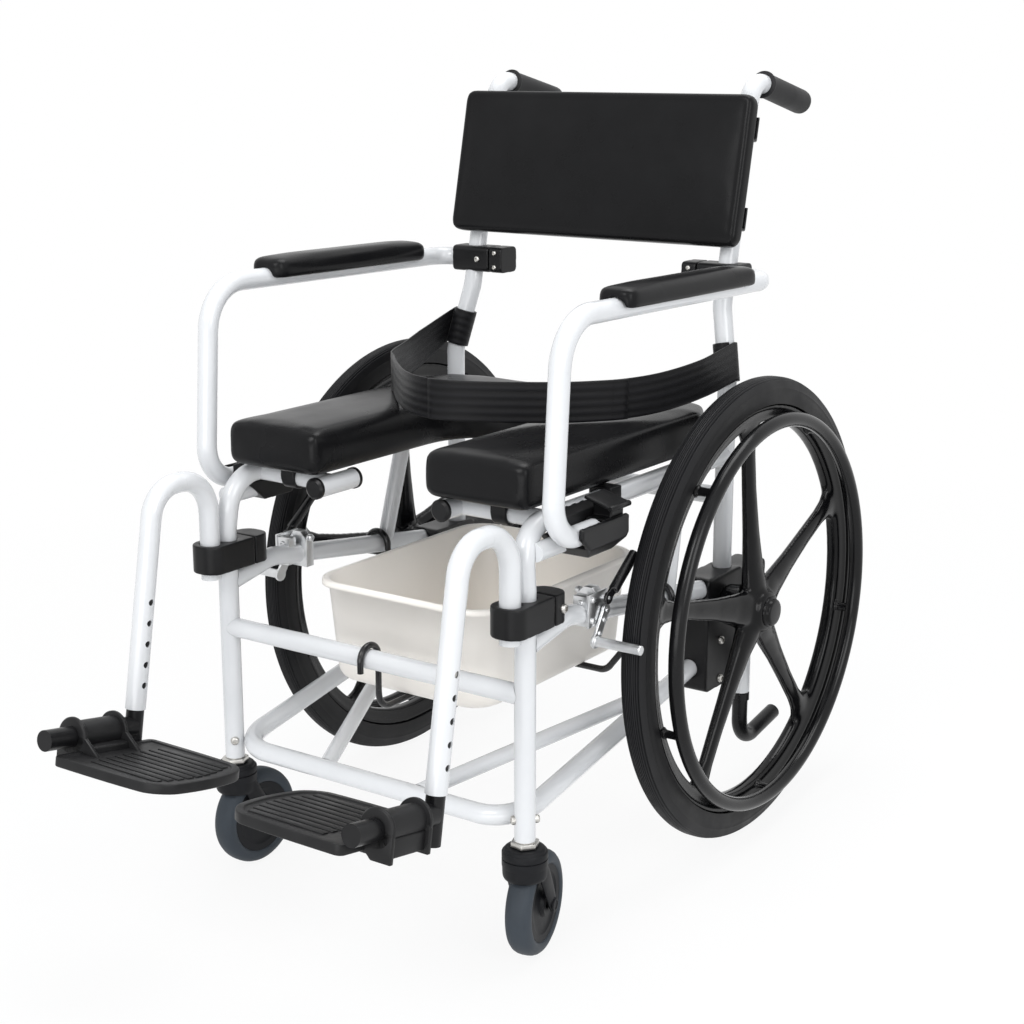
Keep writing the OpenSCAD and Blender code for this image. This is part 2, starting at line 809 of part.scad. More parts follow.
module caster_stems() {
    color("silver")
        chair() both() difference() {
            translate([post_x, post_y, 0]) {
                translate([0, 0, post_z]) cylinder(d = tube_d - 2 * tube_wall - 2 * fit, h = stem_in - 1);
                translate([0, 0, post_z - stem_out]) cylinder(d = stem_d, h = stem_out + 1);
                translate([0, 0, post_z - nut_h]) cylinder(d = 27, h = nut_h, $fn = 6);
            }
            stem_bolt_room(fit);
        }
}

module at_caster(side, turn) {
    chair()
        translate([side * post_x, post_y, 0])
            rotate([0, 0, turn])
                children();
}

module caster_fork() {
    half = caster_w / 2 + fork_gap;
    difference() {
        union() {
            translate([0, 0, caster_z + 48]) cylinder(d = fork_d, h = fork_top - caster_z - 48);
            for (s = [-1, 1])
                translate([s * (half + fork_leg / 2) - fork_leg / 2, 0, 0])
                    rotate([90, 0, 90])
                        linear_extrude(fork_leg) {
                            translate([caster_trail, caster_z]) circle(r = 14);
                            polygon([[-18, fork_top - 6], [20, fork_top - 6], [caster_trail + 13.5, caster_z + 3],
                                [caster_trail - 13.5, caster_z - 3], [-16, caster_z + 44]]);
                        }
            rod([-half - fork_leg - 3, caster_trail, caster_z], [half + fork_leg + 3, caster_trail, caster_z],
                caster_axle_d);
        }
        difference() {
            rod([-half, caster_trail, caster_z], [half, caster_trail, caster_z], 2 * caster_r + 6);
            rod([-half - 1, caster_trail, caster_z], [half + 1, caster_trail, caster_z], caster_axle_d);
        }
        translate([0, 0, post_z - stem_out - run_gap]) cylinder(d = stem_d + 2 * fit, h = stem_out + 2);
    }
}

// Ring about the X axis from a profile of radius and half width, with rounded outer edges
module wheel_ring(r0, r1, w, round) {
    rotate([0, 90, 0])
        rotate_extrude()
            intersection() {
                translate([(r0 + r1) / 2 - round, 0]) slab(r1 - r0 + 2 * round, w, round);
                translate([r0, -w]) square([r1 - r0 + 1, 2 * w]);
            }
}

module caster_hub() {
    translate([0, caster_trail, caster_z]) difference() {
        rotate([0, 90, 0]) {
            translate([0, 0, -caster_w / 2 + 2]) cylinder(r = caster_r - 17, h = caster_w - 4);
            translate([0, 0, -caster_w / 2 - 1.5]) cylinder(r = 15, h = caster_w + 3);
        }
        rod([-caster_w, 0, 0], [caster_w, 0, 0], caster_axle_d + 2 * fit);
    }
}

module caster_tyre() {
    translate([0, caster_trail, caster_z]) wheel_ring(caster_r - 17, caster_r, caster_w, 12);
}

module caster_fork_l() {
    color("black") at_caster(1, caster_turn_l) caster_fork();
}

module caster_fork_r() {
    color("black") at_caster(-1, caster_turn_r) caster_fork();
}

module caster_hub_l() {
    color("dimgray") at_caster(1, caster_turn_l) caster_hub();
}

module caster_hub_r() {
    color("dimgray") at_caster(-1, caster_turn_r) caster_hub();
}

module caster_tyre_l() {
    color("slategray") at_caster(1, caster_turn_l) caster_tyre();
}

module caster_tyre_r() {
    color("slategray") at_caster(-1, caster_turn_r) caster_tyre();
}

module drive_wheel_side() {
    r1 = wheel_r - tyre_h;
    r0 = r1 - rim_h;
    root = 0.85 * hub_r * sin(180 / spokes);
    translate([0, 0, wheel_r]) difference() {
        union() {
            translate([wheel_x, 0, 0]) rotate([0, 90, 0]) rotate_extrude() {
                translate([r0, -8]) square([rim_h, 16]);
                translate([r1 - 7, -tyre_w / 2 + 2]) square([7, tyre_w - 4]);
            }
            rod([hub_in, 0, 0], [hub_out, 0, 0], 2 * hub_r);
            rod([hub_out - 1, 0, 0], [hub_out + 8, 0, 0], 1.3 * hub_r);
            for (k = [0:spokes - 1])
                rotate([spoke_turn + k * 360 / spokes, 0, 0])
                    translate([wheel_x - 6, 0, 0])
                        rotate([90, 0, 90])
                            linear_extrude(15)
                                polygon([[hub_r - 8, -root], [hub_r - 8, root], [hub_r + 45, 13], [r0 + 3, 10],
                                    [r0 + 3, -10], [hub_r + 45, -13]]);
        }
        rod([hub_in - 1, 0, 0], [hub_out - 3, 0, 0], axle_d + 2 * fit);
    }
}

module drive_tyre_side() {
    translate([wheel_x, 0, wheel_r]) wheel_ring(wheel_r - tyre_h, wheel_r, tyre_w, 13);
}

module push_rim_side() {
    translate([wheel_x, 0, wheel_r]) {
        translate([handrim_out, 0, 0]) rotate([0, 90, 0]) rotate_extrude() translate([handrim_r, 0]) circle(d = handrim_d);
        for (k = [0:spokes - 1])
            rotate([spoke_turn + (k + 0.5) * 360 / spokes, 0, 0])
                rod([8, handrim_r + 2, 0], [handrim_out, handrim_r + 2, 0], 9);
    }
}

module drive_wheel_l() {
    color([0.12, 0.12, 0.12]) chair() drive_wheel_side();
}

module drive_wheel_r() {
    color([0.12, 0.12, 0.12]) chair() on_right() drive_wheel_side();
}

module drive_tyre_l() {
    color([0.15, 0.15, 0.15]) chair() drive_tyre_side();
}

module drive_tyre_r() {
    color([0.15, 0.15, 0.15]) chair() on_right() drive_tyre_side();
}

module push_rim_l() {
    color("black") chair() push_rim_side();
}

module push_rim_r() {
    color("black") chair() on_right() push_rim_side();
}

module hanger_side() {
    difference() {
        bent(hang_path, [hang_r, hang_r - 6], tube_d);
        rod(leg_top + leg_dir * (ext_top - 8), leg_top + leg_dir * (leg_len + 1), leg_bore);
        for (k = [0:4]) {
            c = leg_top + leg_dir * (first_hole + k * hole_pitch);
            rod(c - [tube_d, 0, 0], c + [tube_d, 0, 0], hole_d);
        }
    }
}

module foot_ext_side() {
    b = leg_top + leg_dir * first_hole;
    difference() {
        union() {
            rod(leg_top + leg_dir * ext_top, foot_point + leg_dir * ext_tail, ext_d);
            rod(foot_point, foot_point + foot_dir * foot_hinge_len, foot_hinge_d);
            rod(foot_point + foot_dir * (barrel_at + barrel_len + run_gap), foot_point + foot_dir * (foot_hinge_len + 2),
                foot_hinge_d + 5);
            rod(foot_point + foot_dir * 3, foot_point + foot_dir * (barrel_at - run_gap), foot_hinge_d + 6);
        }
        rod(b - [4, 0, 0], b + [ext_d, 0, 0], button_d + 2 * fit);
    }
}

module foot_button_side() {
    b = leg_top + leg_dir * first_hole;
    rod(b + [ext_d / 2 - 1 - button_len, 0, 0], b + [ext_d / 2 - 1, 0, 0], button_d);
}

// Footplate drawn with X inwards, Y along the hinge and Z up, with its hinge at the origin
module footplate_flat() {
    rib_n = 7;
    difference() {
        union() {
            translate([plate_side + plate_len / 2, foot_hinge_len - plate_depth / 2, -plate_top - plate_t])
                linear_extrude(plate_t) slab(plate_len, plate_depth, 24);
            translate([-10, barrel_at, -plate_top - plate_t])
                cube([plate_side + 34, barrel_len, plate_t + 6]);
            rod([0, barrel_at, 0], [0, barrel_at + barrel_len, 0], barrel_d);
            for (u = [barrel_at, barrel_at + barrel_len - flange_t])
                rod([0, u, 0], [0, u + flange_t, 0], flange_d);
        }
        rod([0, barrel_at - 1, 0], [0, barrel_at + barrel_len + 1, 0], foot_hinge_d + 2 * fit);
        for (k = [0:rib_n - 1])
            translate([plate_side + 36, foot_hinge_len - plate_depth + 16 + k * (plate_depth - 32) / (rib_n - 1) - 3,
                -plate_top - 2.5])
                cube([plate_len - 56, 6, 5]);
    }
}

module footplate_side() {
    translate(foot_point)
        multmatrix([[-1, 0, 0, 0], [0, foot_dir[1], -leg_dir[1], 0], [0, foot_dir[2], -leg_dir[2], 0], [0, 0, 0, 1]])
            footplate_flat();
}

module hanger_l() {
    color("white") chair() hanger_side();
}

module hanger_r() {
    color("white") chair() on_right() hanger_side();
}

module foot_ext_l() {
    color("black") chair() foot_ext_side();
}

module foot_ext_r() {
    color("black") chair() on_right() foot_ext_side();
}

module foot_button_l() {
    color("silver") chair() foot_button_side();
}

module foot_button_r() {
    color("silver") chair() on_right() foot_button_side();
}

module footplate_l() {
    color([0.12, 0.12, 0.12]) chair() footplate_side();
}

module footplate_r() {
    color([0.12, 0.12, 0.12]) chair() on_right() footplate_side();
}

module brake_clamps() {
    color("silver")
        chair() both() {
            difference() {
                block_x(post_x - tube_d / 2 - 4, clamp_out, brake_y, brake_z + 6, 42, 48, 5);
                side_rail_room(fit);
            }
            rod([clamp_out - 3, shoe_at[0], shoe_at[1]], [clamp_out + run_gap + brake_t, shoe_at[0], shoe_at[1]],
                brake_pin_d);
            rod([clamp_out - 3, lever_at[0], lever_at[1]],
                [clamp_out + 2 * run_gap + 2 * brake_t, lever_at[0], lever_at[1]], brake_pin_d);
        }
}

module brake_shoe_side() {
    x0 = clamp_out + run_gap;
    d = peg_at - shoe_at;
    difference() {
        union() {
            translate([x0, shoe_at[0], shoe_at[1]])
                rotate([90, 0, 90])
                    linear_extrude(brake_t) {
                        circle(r = 8);
                        translate(d) circle(r = 9);
                        rotate(atan2(d[1], d[0])) translate([0, -7]) square([norm(d), 14]);
                    }
            rod([x0, peg_at[0], peg_at[1]], [wheel_x + tyre_w / 2 + 12, peg_at[0], peg_at[1]], peg_d);
        }
        rod([x0 - 1, shoe_at[0], shoe_at[1]], [x0 + brake_t + 1, shoe_at[0], shoe_at[1]], brake_pin_d + 2 * fit);
    }
}

module brake_lever_side() {
    x0 = clamp_out + 2 * run_gap + brake_t;
    d = lever_tip - lever_at;
    a = atan2(d[1], d[0]);
    difference() {
        union() {
            translate([x0, lever_at[0], lever_at[1]])
                rotate([90, 0, 90])
                    linear_extrude(brake_t) {
                        circle(r = 8);
                        rotate(a) translate([0, -6]) square([24, 12]);
                    }
            rod([x0 + 3, lever_at[0] + 12 * cos(a), lever_at[1] + 12 * sin(a)],
                [x0 + 4, lever_tip[0], lever_tip[1]], lever_d);
        }
        rod([x0 - 1, lever_at[0], lever_at[1]], [x0 + 30, lever_at[0], lever_at[1]], brake_pin_d + 2 * fit);
    }
}

module brake_shoe_l() {
    color("silver") chair() brake_shoe_side();
}

module brake_shoe_r() {
    color("silver") chair() on_right() brake_shoe_side();
}

module brake_lever_l() {
    color("black") chair() brake_lever_side();
}

module brake_lever_r() {
    color("black") chair() on_right() brake_lever_side();
}

module antitip_side() {
    top = [cane_x, rear_post_back, rear_post_z + 68];
    bend = [cane_x, rear_post_back, 69];
    end = [cane_x, rear_post_back + 102, 87];
    bent([top, bend, end], [32], ext_d);
    rod([cane_x, rear_post_back, rear_post_z - 1 - run_gap], [cane_x, rear_post_back, rear_post_z - 12], tube_d);
}

module antitip_l() {
    color("black") chair() antitip_side();
}

module antitip_r() {
    color("black") chair() on_right() antitip_side();
}

module pan() {
    r = 42;
    t = pan_wall;
    color([0.93, 0.9, 0.83])
        chair() translate([0, -pan_fwd + pan_len / 2, pan_low])
            pillow(pan_w, pan_len, r, 6, [[0, pan_taper + 12], [2.5, pan_taper + 5], [9, pan_taper],
                [pan_h - 9, 8], [pan_h - 9, 1], [pan_h - 7, 0], [pan_h - 2, 0], [pan_h, 2], [pan_h, 7 + t],
                [pan_h - 4, 8 + t], [9 + t, pan_taper + t], [4 + t, pan_taper + 6 + t], [t, pan_taper + 13 + t]]);
}

module pan_rack() {
    g = cross_d / 2 + weld_gap + rack_d / 2;
    h = tube_d / 2 + weld_gap + rack_d / 2;
    rz = rail_z(rack_y);
    color("black")
        chair() {
            bent([[0, post_y - g, mid_cross_z - 14], [0, post_y - g, mid_cross_z + g], [0, post_y + g, mid_cross_z + g],
                [0, post_y + g, rack_z], [0, rack_y, rack_z]], [g - 0.2, g - 0.2, 22], rack_d - 1);
            bent([[-post_x - h, rack_y, rz - 12], [-post_x - h, rack_y, rz + h], [-post_x + h, rack_y, rz + h],
                [-post_x + h, rack_y, rz - 35], [-rack_x, rack_y, rack_z], [rack_x, rack_y, rack_z],
                [post_x - h, rack_y, rz - 35], [post_x - h, rack_y, rz + h], [post_x + h, rack_y, rz + h],
                [post_x + h, rack_y, rz - 12]],
                [h - 0.2, h - 0.2, 20, 20, 20, 20, h - 0.2, h - 0.2], rack_d);
        }
}

// Seat pad: cross sections from the opening's edge to the outer edge, carried round the U.
// Each station is a point on the inner outline and its partner on the outer outline.
seat_round = 13;
open_r = opening_w / 2;
open_y = seat_front + opening_d - open_r;
seat_corner = 58;
half_w = seat_w / 2;
seat_steps = 8;
function arm_station(k) = let (y = seat_front + seat_round + k * (open_y - seat_front - seat_round) / 4)
    [[open_r, y], [half_w, y]];
// Outer outline behind the opening: out to the corner, round it and in to the middle, by share s
side_run = seat_back - seat_corner - open_y;
back_run = half_w - seat_corner;
turn_run = seat_corner * PI / 2;
function rim_point(s) = let (q = s * (side_run + turn_run + back_run))
    q < side_run ? [half_w, open_y + q]
    : q < side_run + turn_run ? let (a = (q - side_run) / seat_corner * 180 / PI)
        [half_w - seat_corner + seat_corner * cos(a), seat_back - seat_corner + seat_corner * sin(a)]
    : [half_w - seat_corner - (q - side_run - turn_run), seat_back];
function bow_station(s) = [[open_r * cos(90 * s), open_y + open_r * sin(90 * s)], rim_point(s)];
function flip(st) = [[-st[0][0], st[0][1]], [-st[1][0], st[1][1]]];
half_stations = concat([for (k = [0:3]) arm_station(k)], [for (k = [0:seat_steps]) bow_station(k / seat_steps)]);
n_half = len(half_stations);
seat_stations = concat(half_stations, [for (k = [n_half - 2:-1:0]) flip(half_stations[k])]);
seat_crown = 3;
// Section points as [distance from an edge, which edge, height], round the pad's edge
function seat_ring(st, cut, dy) = let (i = st[0], o = st[1], d = unit(o - i), w = norm(o - i), r = seat_round)
    [for (q = [[w / 2, 0], [r, 0], [5, 2], [1, 7], [0, r], [0, seat_t - r], [1, seat_t - 6], [4.5, seat_t - 2],
            [r, seat_t - 0.4], [34, seat_t + seat_crown - 1], [w / 2, seat_t + seat_crown],
            [w - 34, seat_t + seat_crown - 1], [w - r, seat_t - 0.4], [w - 4.5, seat_t - 2], [w - 1, seat_t - 6],
            [w, seat_t - r], [w, r], [w - 1, 7], [w - 5, 2], [w - r, 0]])
        let (e = cut + q[0] * (w - 2 * cut) / w, z = cut + q[1] * (seat_t - 2 * cut) / seat_t)
            [i[0] + d[0] * e, i[1] + d[1] * e + dy, z]];

module seat_pad() {
    n = len(seat_stations);
    last = n - 1;
    ends = [[seat_round * 0.62, -seat_round], [seat_round * 0.28, -seat_round * 0.8], [seat_round * 0.06, -seat_round * 0.42]];
    rings = concat([for (q = ends) seat_ring(seat_stations[0], q[0], q[1])],
        [for (st = seat_stations) seat_ring(st, 0, 0)],
        [for (k = [2:-1:0]) seat_ring(seat_stations[last], ends[k][0], ends[k][1])]);
    color([0.1, 0.1, 0.1])
        chair() translate([0, 0, seat_low])
            polyhedron(points = [for (g = rings) each g], faces = skin_faces(len(rings), 20));
}

module seat_clips() {
    z = seat_rail_z;
    color("black")
        chair() both() {
            for (y = [seat_front + 176, seat_back - 59])
                difference() {
                    union() {
                        translate([cane_x, y - 12, z]) rotate([-90, 0, 0]) cylinder(d = tube_d + 7, h = 24);
                        translate([cane_x - 16, y - 12, z]) cube([32, 24, seat_low - z]);
                    }
                    seat_rail_room(fit);
                    translate([cane_x - 30, y - 20, seat_low]) cube([60, 40, 30]);
                }
            difference() {
                union() {
                    translate([stub_x + 54, lateral_y, z - 1]) rotate([0, 90, 0]) cylinder(d = stub_d + 7, h = 22);
                    translate([stub_x + 54, lateral_y - 15, z - 1]) cube([22, 30, seat_low - z + 1]);
                }
                rod([stub_x, lateral_y, z - 1], [cane_x, lateral_y, z - 1], stub_d + 2 * fit);
            }
        }
}

// Belt: a flat strap on edge over the seat, looped round the two canes above it.
// Its points are shares of the canes' distance across and lengths along the chair.
belt_points = [[-0.82, -161], [-0.68, -188], [-0.525, -216], [-0.407, -252], [-0.312, -276], [-0.18, -294], [-0.045, -302],
    [0.08, -299], [0.195, -290], [0.317, -277], [0.44, -261], [0.62, -233], [0.747, -204], [0.86, -165]];
belt_up = jog_z + 30;
jog_dir = unit([cane_top_x - cane_x, jog_back, jog_end_z - jog_z]);
function cane_at(z) = [cane_x, cane_back, jog_z] + jog_dir * (z - jog_z) / jog_dir[2];
belt_loop = tube_d / 2 + 0.7;
belt_end = cane_at(belt_up);
belt_side = belt_loop + belt_t / 2;
belt_path = concat([[-belt_end[0] - belt_side, belt_end[1] - 4, belt_up], [-belt_end[0] - 12, -40, belt_up - 8]],
    [for (q = belt_points) [q[0] * cane_x, q[1], belt_z]],
    [[belt_end[0] + 12, -40, belt_up - 8], [belt_end[0] + belt_side, belt_end[1] - 4, belt_up]]);
belt_n = len(belt_path);
function belt_lean(k) = k == 0 ? [-jog_dir[0], jog_dir[1], jog_dir[2]] : k == belt_n - 1 ? jog_dir : [0, 0, 1];
// Section of the strap at point k, doubled where its end laps over
function belt_ring(k) = let (a = belt_path[max(k - 1, 0)], b = belt_path[min(k + 1, belt_n - 1)],
        u = unit([b[0] - a[0], b[1] - a[1]]), m = [u[1], -u[0], 0], t = k > 11 && k < 15 ? 2 * belt_t : belt_t,
        h = belt_lean(k) * belt_w / 2, q = belt_path[k] - m * belt_t / 2, o = q + m * t)
    [q - h, q + h, o + h, o - h];

module belt() {
    color([0.08, 0.08, 0.08])
        chair() {
            polyhedron(points = [for (k = [0:belt_n - 1]) each belt_ring(k)], faces = skin_faces(belt_n, 4));
            both() difference() {
                rod(belt_end - jog_dir * belt_w / 2, belt_end + jog_dir * belt_w / 2, 2 * (belt_loop + belt_t));
                rod(belt_end - jog_dir * belt_w, belt_end + jog_dir * belt_w, 2 * belt_loop);
            }
        }
}

side_frames();
side_rails();
arm_stubs();
mid_cross();
lower_u();
braces();
rear_cross();
rear_posts();
struts();
seat_stubs();
end_caps();
axle_blocks();
axles();
hanger_blocks();
frame_bolts();
canes();
grips();
back_pad();
back_brackets();
pivot_blocks();
arm_sockets();
caster_stems();
brake_clamps();
belt();
pan_rack();
seat_pad();
seat_clips();
drive_wheel_l();
drive_tyre_l();
push_rim_l();
drive_wheel_r();
drive_tyre_r();
push_rim_r();
caster_fork_l();
caster_hub_l();
caster_tyre_l();
caster_fork_r();
caster_hub_r();
caster_tyre_r();
arm_tube_l();
arm_pad_l();
arm_latch_l();
arm_tube_r();
arm_pad_r();
arm_latch_r();
hanger_l();
foot_ext_l();
foot_button_l();
footplate_l();
hanger_r();
foot_ext_r();
foot_button_r();
footplate_r();
brake_lever_l();
brake_shoe_l();
brake_lever_r();
brake_shoe_r();
pan();
antitip_l();
antitip_r();
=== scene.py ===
# %% [markdown]
# # A shower commode chair on big wheels
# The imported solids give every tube, block and wheel its place. This lesson loads them as a fixed frame and
# then dresses them: finishes first, then the soft pads, the strap, the wheels and the small moulded parts.
# Nothing is moved, so each new piece is drawn where its solid is and stands in for it.

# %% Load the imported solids
import json
import math

import bmesh
import bpy
from mathutils import Matrix, Vector


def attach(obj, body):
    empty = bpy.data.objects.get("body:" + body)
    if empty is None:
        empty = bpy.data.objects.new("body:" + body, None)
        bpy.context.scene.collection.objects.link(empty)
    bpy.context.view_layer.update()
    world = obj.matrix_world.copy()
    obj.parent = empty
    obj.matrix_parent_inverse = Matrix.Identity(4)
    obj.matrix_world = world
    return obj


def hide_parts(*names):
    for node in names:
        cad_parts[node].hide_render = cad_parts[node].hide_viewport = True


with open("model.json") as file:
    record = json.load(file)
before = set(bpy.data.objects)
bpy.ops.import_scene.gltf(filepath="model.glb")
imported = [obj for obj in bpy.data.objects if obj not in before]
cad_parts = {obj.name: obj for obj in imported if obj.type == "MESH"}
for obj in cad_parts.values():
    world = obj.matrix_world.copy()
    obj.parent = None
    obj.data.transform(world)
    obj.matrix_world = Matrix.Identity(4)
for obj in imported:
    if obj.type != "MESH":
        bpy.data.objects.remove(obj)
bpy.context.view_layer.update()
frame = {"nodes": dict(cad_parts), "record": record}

# %% [markdown]
# The chair's front posts lean back a little on the floor, and the drawings are square to the posts. One
# matrix takes millimetres of those drawings to metres on the floor, so every piece below is drawn in plain
# chair sizes and then placed once. The right side is the left side mirrored.

# %% From chair millimetres to floor metres
LEAN = math.radians(4.1)
AXLE_HEIGHT = 0.305
AXLE_BACK = 0.221368
TO_METRES, FROM_METRES = Matrix.Scale(0.001, 4), Matrix.Scale(1000, 4)
CHAIR = (Matrix.Translation((0, AXLE_BACK, AXLE_HEIGHT)) @ Matrix.Rotation(-LEAN, 4, "X")
         @ Matrix.Translation((0, 0, -AXLE_HEIGHT)) @ TO_METRES)
SIDES = {"l": Matrix.Identity(4), "r": Matrix.Scale(-1, 4, (1, 0, 0))}
POST_OUT, POST_FRONT = 228.5, -440
print("front post foot", [round(v, 3) for v in CHAIR @ Vector((POST_OUT, POST_FRONT, 125.7))])

# %% [markdown]
# The picture was taken from the front left of the chair, from a bit above its arms. The camera's place and
# turn were found from the two drive wheels, which are circles of known size, so here they are only written
# down: where it stood, which way it looked and how long its lens was.

# %% Camera
CAMERA_AT = Vector((1335, -2050, 1009))
CAMERA_TURN, CAMERA_DIP = math.radians(34.94), math.radians(14.12)
LENS_PIXELS, PICTURE_PIXELS, SENSOR = 1818, 1024, 36


def make_camera():
    level = math.cos(CAMERA_DIP)
    look = Vector((-math.sin(CAMERA_TURN) * level, math.cos(CAMERA_TURN) * level, -math.sin(CAMERA_DIP)))
    right = Vector((math.cos(CAMERA_TURN), math.sin(CAMERA_TURN), 0))
    up = right.cross(look)
    spin = CHAIR.to_quaternion().to_matrix()
    axes = Matrix([spin @ v for v in (right, up, -look)]).transposed()
    data = bpy.data.cameras.new("camera")
    data.sensor_width = SENSOR
    data.lens = LENS_PIXELS / PICTURE_PIXELS * SENSOR
    camera = bpy.data.objects.new("camera", data)
    camera.matrix_world = Matrix.Translation(CHAIR @ CAMERA_AT) @ axes.to_4x4()
    bpy.context.scene.collection.objects.link(camera)
    bpy.context.scene.camera = camera
    return camera


print("camera at", [round(v, 2) for v in make_camera().location])

# %% [markdown]
# Shader trees are built from a few small steps: a node is added with its values, two sockets are linked, and
# a mesh becomes an object in the scene.

# %% Small steps
def link(tree, a, out, b, into):
    tree.links.new(a.outputs[out], b.inputs[into])


def tune(node, **values):
    for label, value in values.items():
        node.inputs[label.replace("_", " ")].default_value = value
    return node


def add(tree, kind, rule=None, **values):
    node = tree.nodes.new("ShaderNode" + kind)
    if rule:
        node.operation = rule
    return tune(node, **values)


def as_object(name, bm):
    mesh = bpy.data.meshes.new(name)
    bm.to_mesh(mesh)
    bm.free()
    made = bpy.data.objects.new(name, mesh)
    bpy.context.scene.collection.objects.link(made)
    return made


print("steps", [step.__name__ for step in (link, tune, add, as_object)])

# %% [markdown]
# A product picture like this one has a white sweep and broad soft lights. The floor and the world are white
# where the camera or a reflection looks at them, and weaker where they light the chair, so that black parts
# stay black. The floor takes a soft shadow near the chair and fades to plain white further out.

# %% Floor and world
def seen_rays(tree):
    path = add(tree, "LightPath")
    total = path.outputs["Is Camera Ray"]
    for name in ("Is Glossy Ray", "Is Transmission Ray"):
        both = add(tree, "Math", "MAXIMUM")
        tree.links.new(total, both.inputs[0])
        link(tree, path, name, both, 1)
        total = both.outputs[0]
    return total


def blend(tree, share, first, second, out):
    mix = add(tree, "MixShader")
    tree.links.new(share, mix.inputs[0])
    link(tree, first, 0, mix, 1)
    link(tree, second, 0, mix, 2)
    link(tree, mix, 0, out, 0)


def make_world():
    bpy.context.scene.view_settings.view_transform = "Standard"
    world = bpy.data.worlds.new("studio")
    bpy.context.scene.world = world
    world.use_nodes = True
    tree = world.node_tree
    tree.nodes.clear()
    out = add(tree, "OutputWorld")
    lit = add(tree, "Background", Color=(0.94, 0.97, 1.0, 1), Strength=0.56)
    white = add(tree, "Background", Color=(1, 1, 1, 1))
    blend(tree, seen_rays(tree), lit, white, out)


def make_floor():
    bm = bmesh.new()
    bmesh.ops.create_grid(bm, x_segments=1, y_segments=1, size=14)
    floor = as_object("floor", bm)
    paper = bpy.data.materials.new("white_paper")
    paper.use_nodes = True
    tree = paper.node_tree
    tree.nodes.clear()
    out = add(tree, "OutputMaterial")
    matt = add(tree, "BsdfDiffuse", Color=(0.86, 0.86, 0.86, 1))
    glow = add(tree, "Emission")
    spot = add(tree, "TexCoord")
    far = add(tree, "VectorMath", "LENGTH")
    link(tree, spot, "Object", far, 0)
    fade = add(tree, "MapRange", From_Min=0.6, From_Max=1.9, To_Min=0.90, To_Max=1.0)
    link(tree, far, "Value", fade, "Value")
    share = add(tree, "Math", "MULTIPLY")
    tree.links.new(seen_rays(tree), share.inputs[0])
    link(tree, fade, "Result", share, 1)
    blend(tree, share.outputs[0], matt, glow, out)
    floor.data.materials.append(paper)


make_world()
make_floor()
print("stage", bpy.context.scene.world.name)

# %% [markdown]
# Four broad area lights stand round the chair and all look at its middle: a key high in front, a fill on the
# near side, one above the back and a low one in front that reaches the pan under the seat.

# %% Soft lights
LIGHTS_LOOK_AT = Vector((0, 0, 0.5))


def soft_light(name, at, size, power):
    data = bpy.data.lights.new(name, "AREA")
    data.shape = "RECTANGLE"
    data.size, data.size_y = size
    data.energy = power
    lamp = bpy.data.objects.new(name, data)
    lamp.location = at
    lamp.rotation_mode = "QUATERNION"
    lamp.rotation_quaternion = (LIGHTS_LOOK_AT - Vector(at)).to_track_quat("-Z", "Y")
    bpy.context.scene.collection.objects.link(lamp)


soft_light("key", (0.1, -2.9, 3.1), (1.6, 1.6), 58)
soft_light("fill", (2.9, -1.2, 1.9), (1.4, 2.0), 34)
soft_light("top", (0.2, 0.9, 3.0), (2.2, 1.6), 48)
soft_light("low", (0.7, -2.6, 0.55), (2.2, 0.9), 15)

# %% [markdown]
# ## Finishes
# Real finishes are never one flat colour. Powder coat has a faint orange peel, moulded plastic a fine spark
# texture, rubber a dusty bloom, foam skin a soft grain. Three shader groups hold these effects once: a
# fine grain for bumps, slow smudges for gloss and colour, and a drawn streak for metal. Each material
# places them with its own sizes.

# %% Shared effects
def new_group(name, inputs, outputs):
    group = bpy.data.node_groups.new(name, "ShaderNodeTree")
    for label, value in inputs.items():
        socket = group.interface.new_socket(label, in_out="INPUT", socket_type="NodeSocketFloat")
        socket.default_value = value
    for label in outputs:
        group.interface.new_socket(label, in_out="OUTPUT", socket_type="NodeSocketFloat")
    give = group.nodes.new("NodeGroupInput")
    take = group.nodes.new("NodeGroupOutput")
    return group, give, take, add(group, "TexCoord")


def grain_group():
    group, give, take, place = new_group("fine_grain", {"Scale": 900.0, "Pebble": 0.4}, ["Height"])
    noise = add(group, "TexNoise", Detail=4)
    cells = add(group, "TexVoronoi")
    cells.feature = "SMOOTH_F1"
    mix = add(group, "Mix")
    for node in (noise, cells):
        link(group, place, "Object", node, "Vector")
        link(group, give, "Scale", node, "Scale")
    link(group, give, "Pebble", mix, "Factor")
    link(group, noise, "Fac", mix, "A")
    link(group, cells, "Distance", mix, "B")
    link(group, mix, "Result", take, "Height")
    return group


def smudge_group():
    group, give, take, place = new_group("smudges", {"Scale": 9.0, "Low": 0.3, "High": 0.45}, ["Value", "Mask"])
    slow = add(group, "TexNoise", Detail=6, Roughness=0.62)
    link(group, place, "Object", slow, "Vector")
    link(group, give, "Scale", slow, "Scale")
    spread = add(group, "MapRange", From_Min=0.32, From_Max=0.68)
    link(group, slow, "Fac", spread, "Value")
    link(group, spread, "Result", take, "Mask")
    level = add(group, "MapRange")
    link(group, spread, "Result", level, "Value")
    link(group, give, "Low", level, "To Min")
    link(group, give, "High", level, "To Max")
    link(group, level, "Result", take, "Value")
    return group


def streak_group():
    group, give, take, place = new_group("drawn_streaks", {"Scale": 60.0, "Stretch": 18.0}, ["Height"])
    squeeze = add(group, "CombineXYZ", X=1, Y=1)
    link(group, give, "Stretch", squeeze, "Z")
    drawn = add(group, "VectorMath", "MULTIPLY")
    link(group, place, "Object", drawn, 0)
    link(group, squeeze, 0, drawn, 1)
    noise = add(group, "TexNoise", Detail=3)
    link(group, drawn, 0, noise, "Vector")
    link(group, give, "Scale", noise, "Scale")
    link(group, noise, "Fac", take, "Height")
    return group


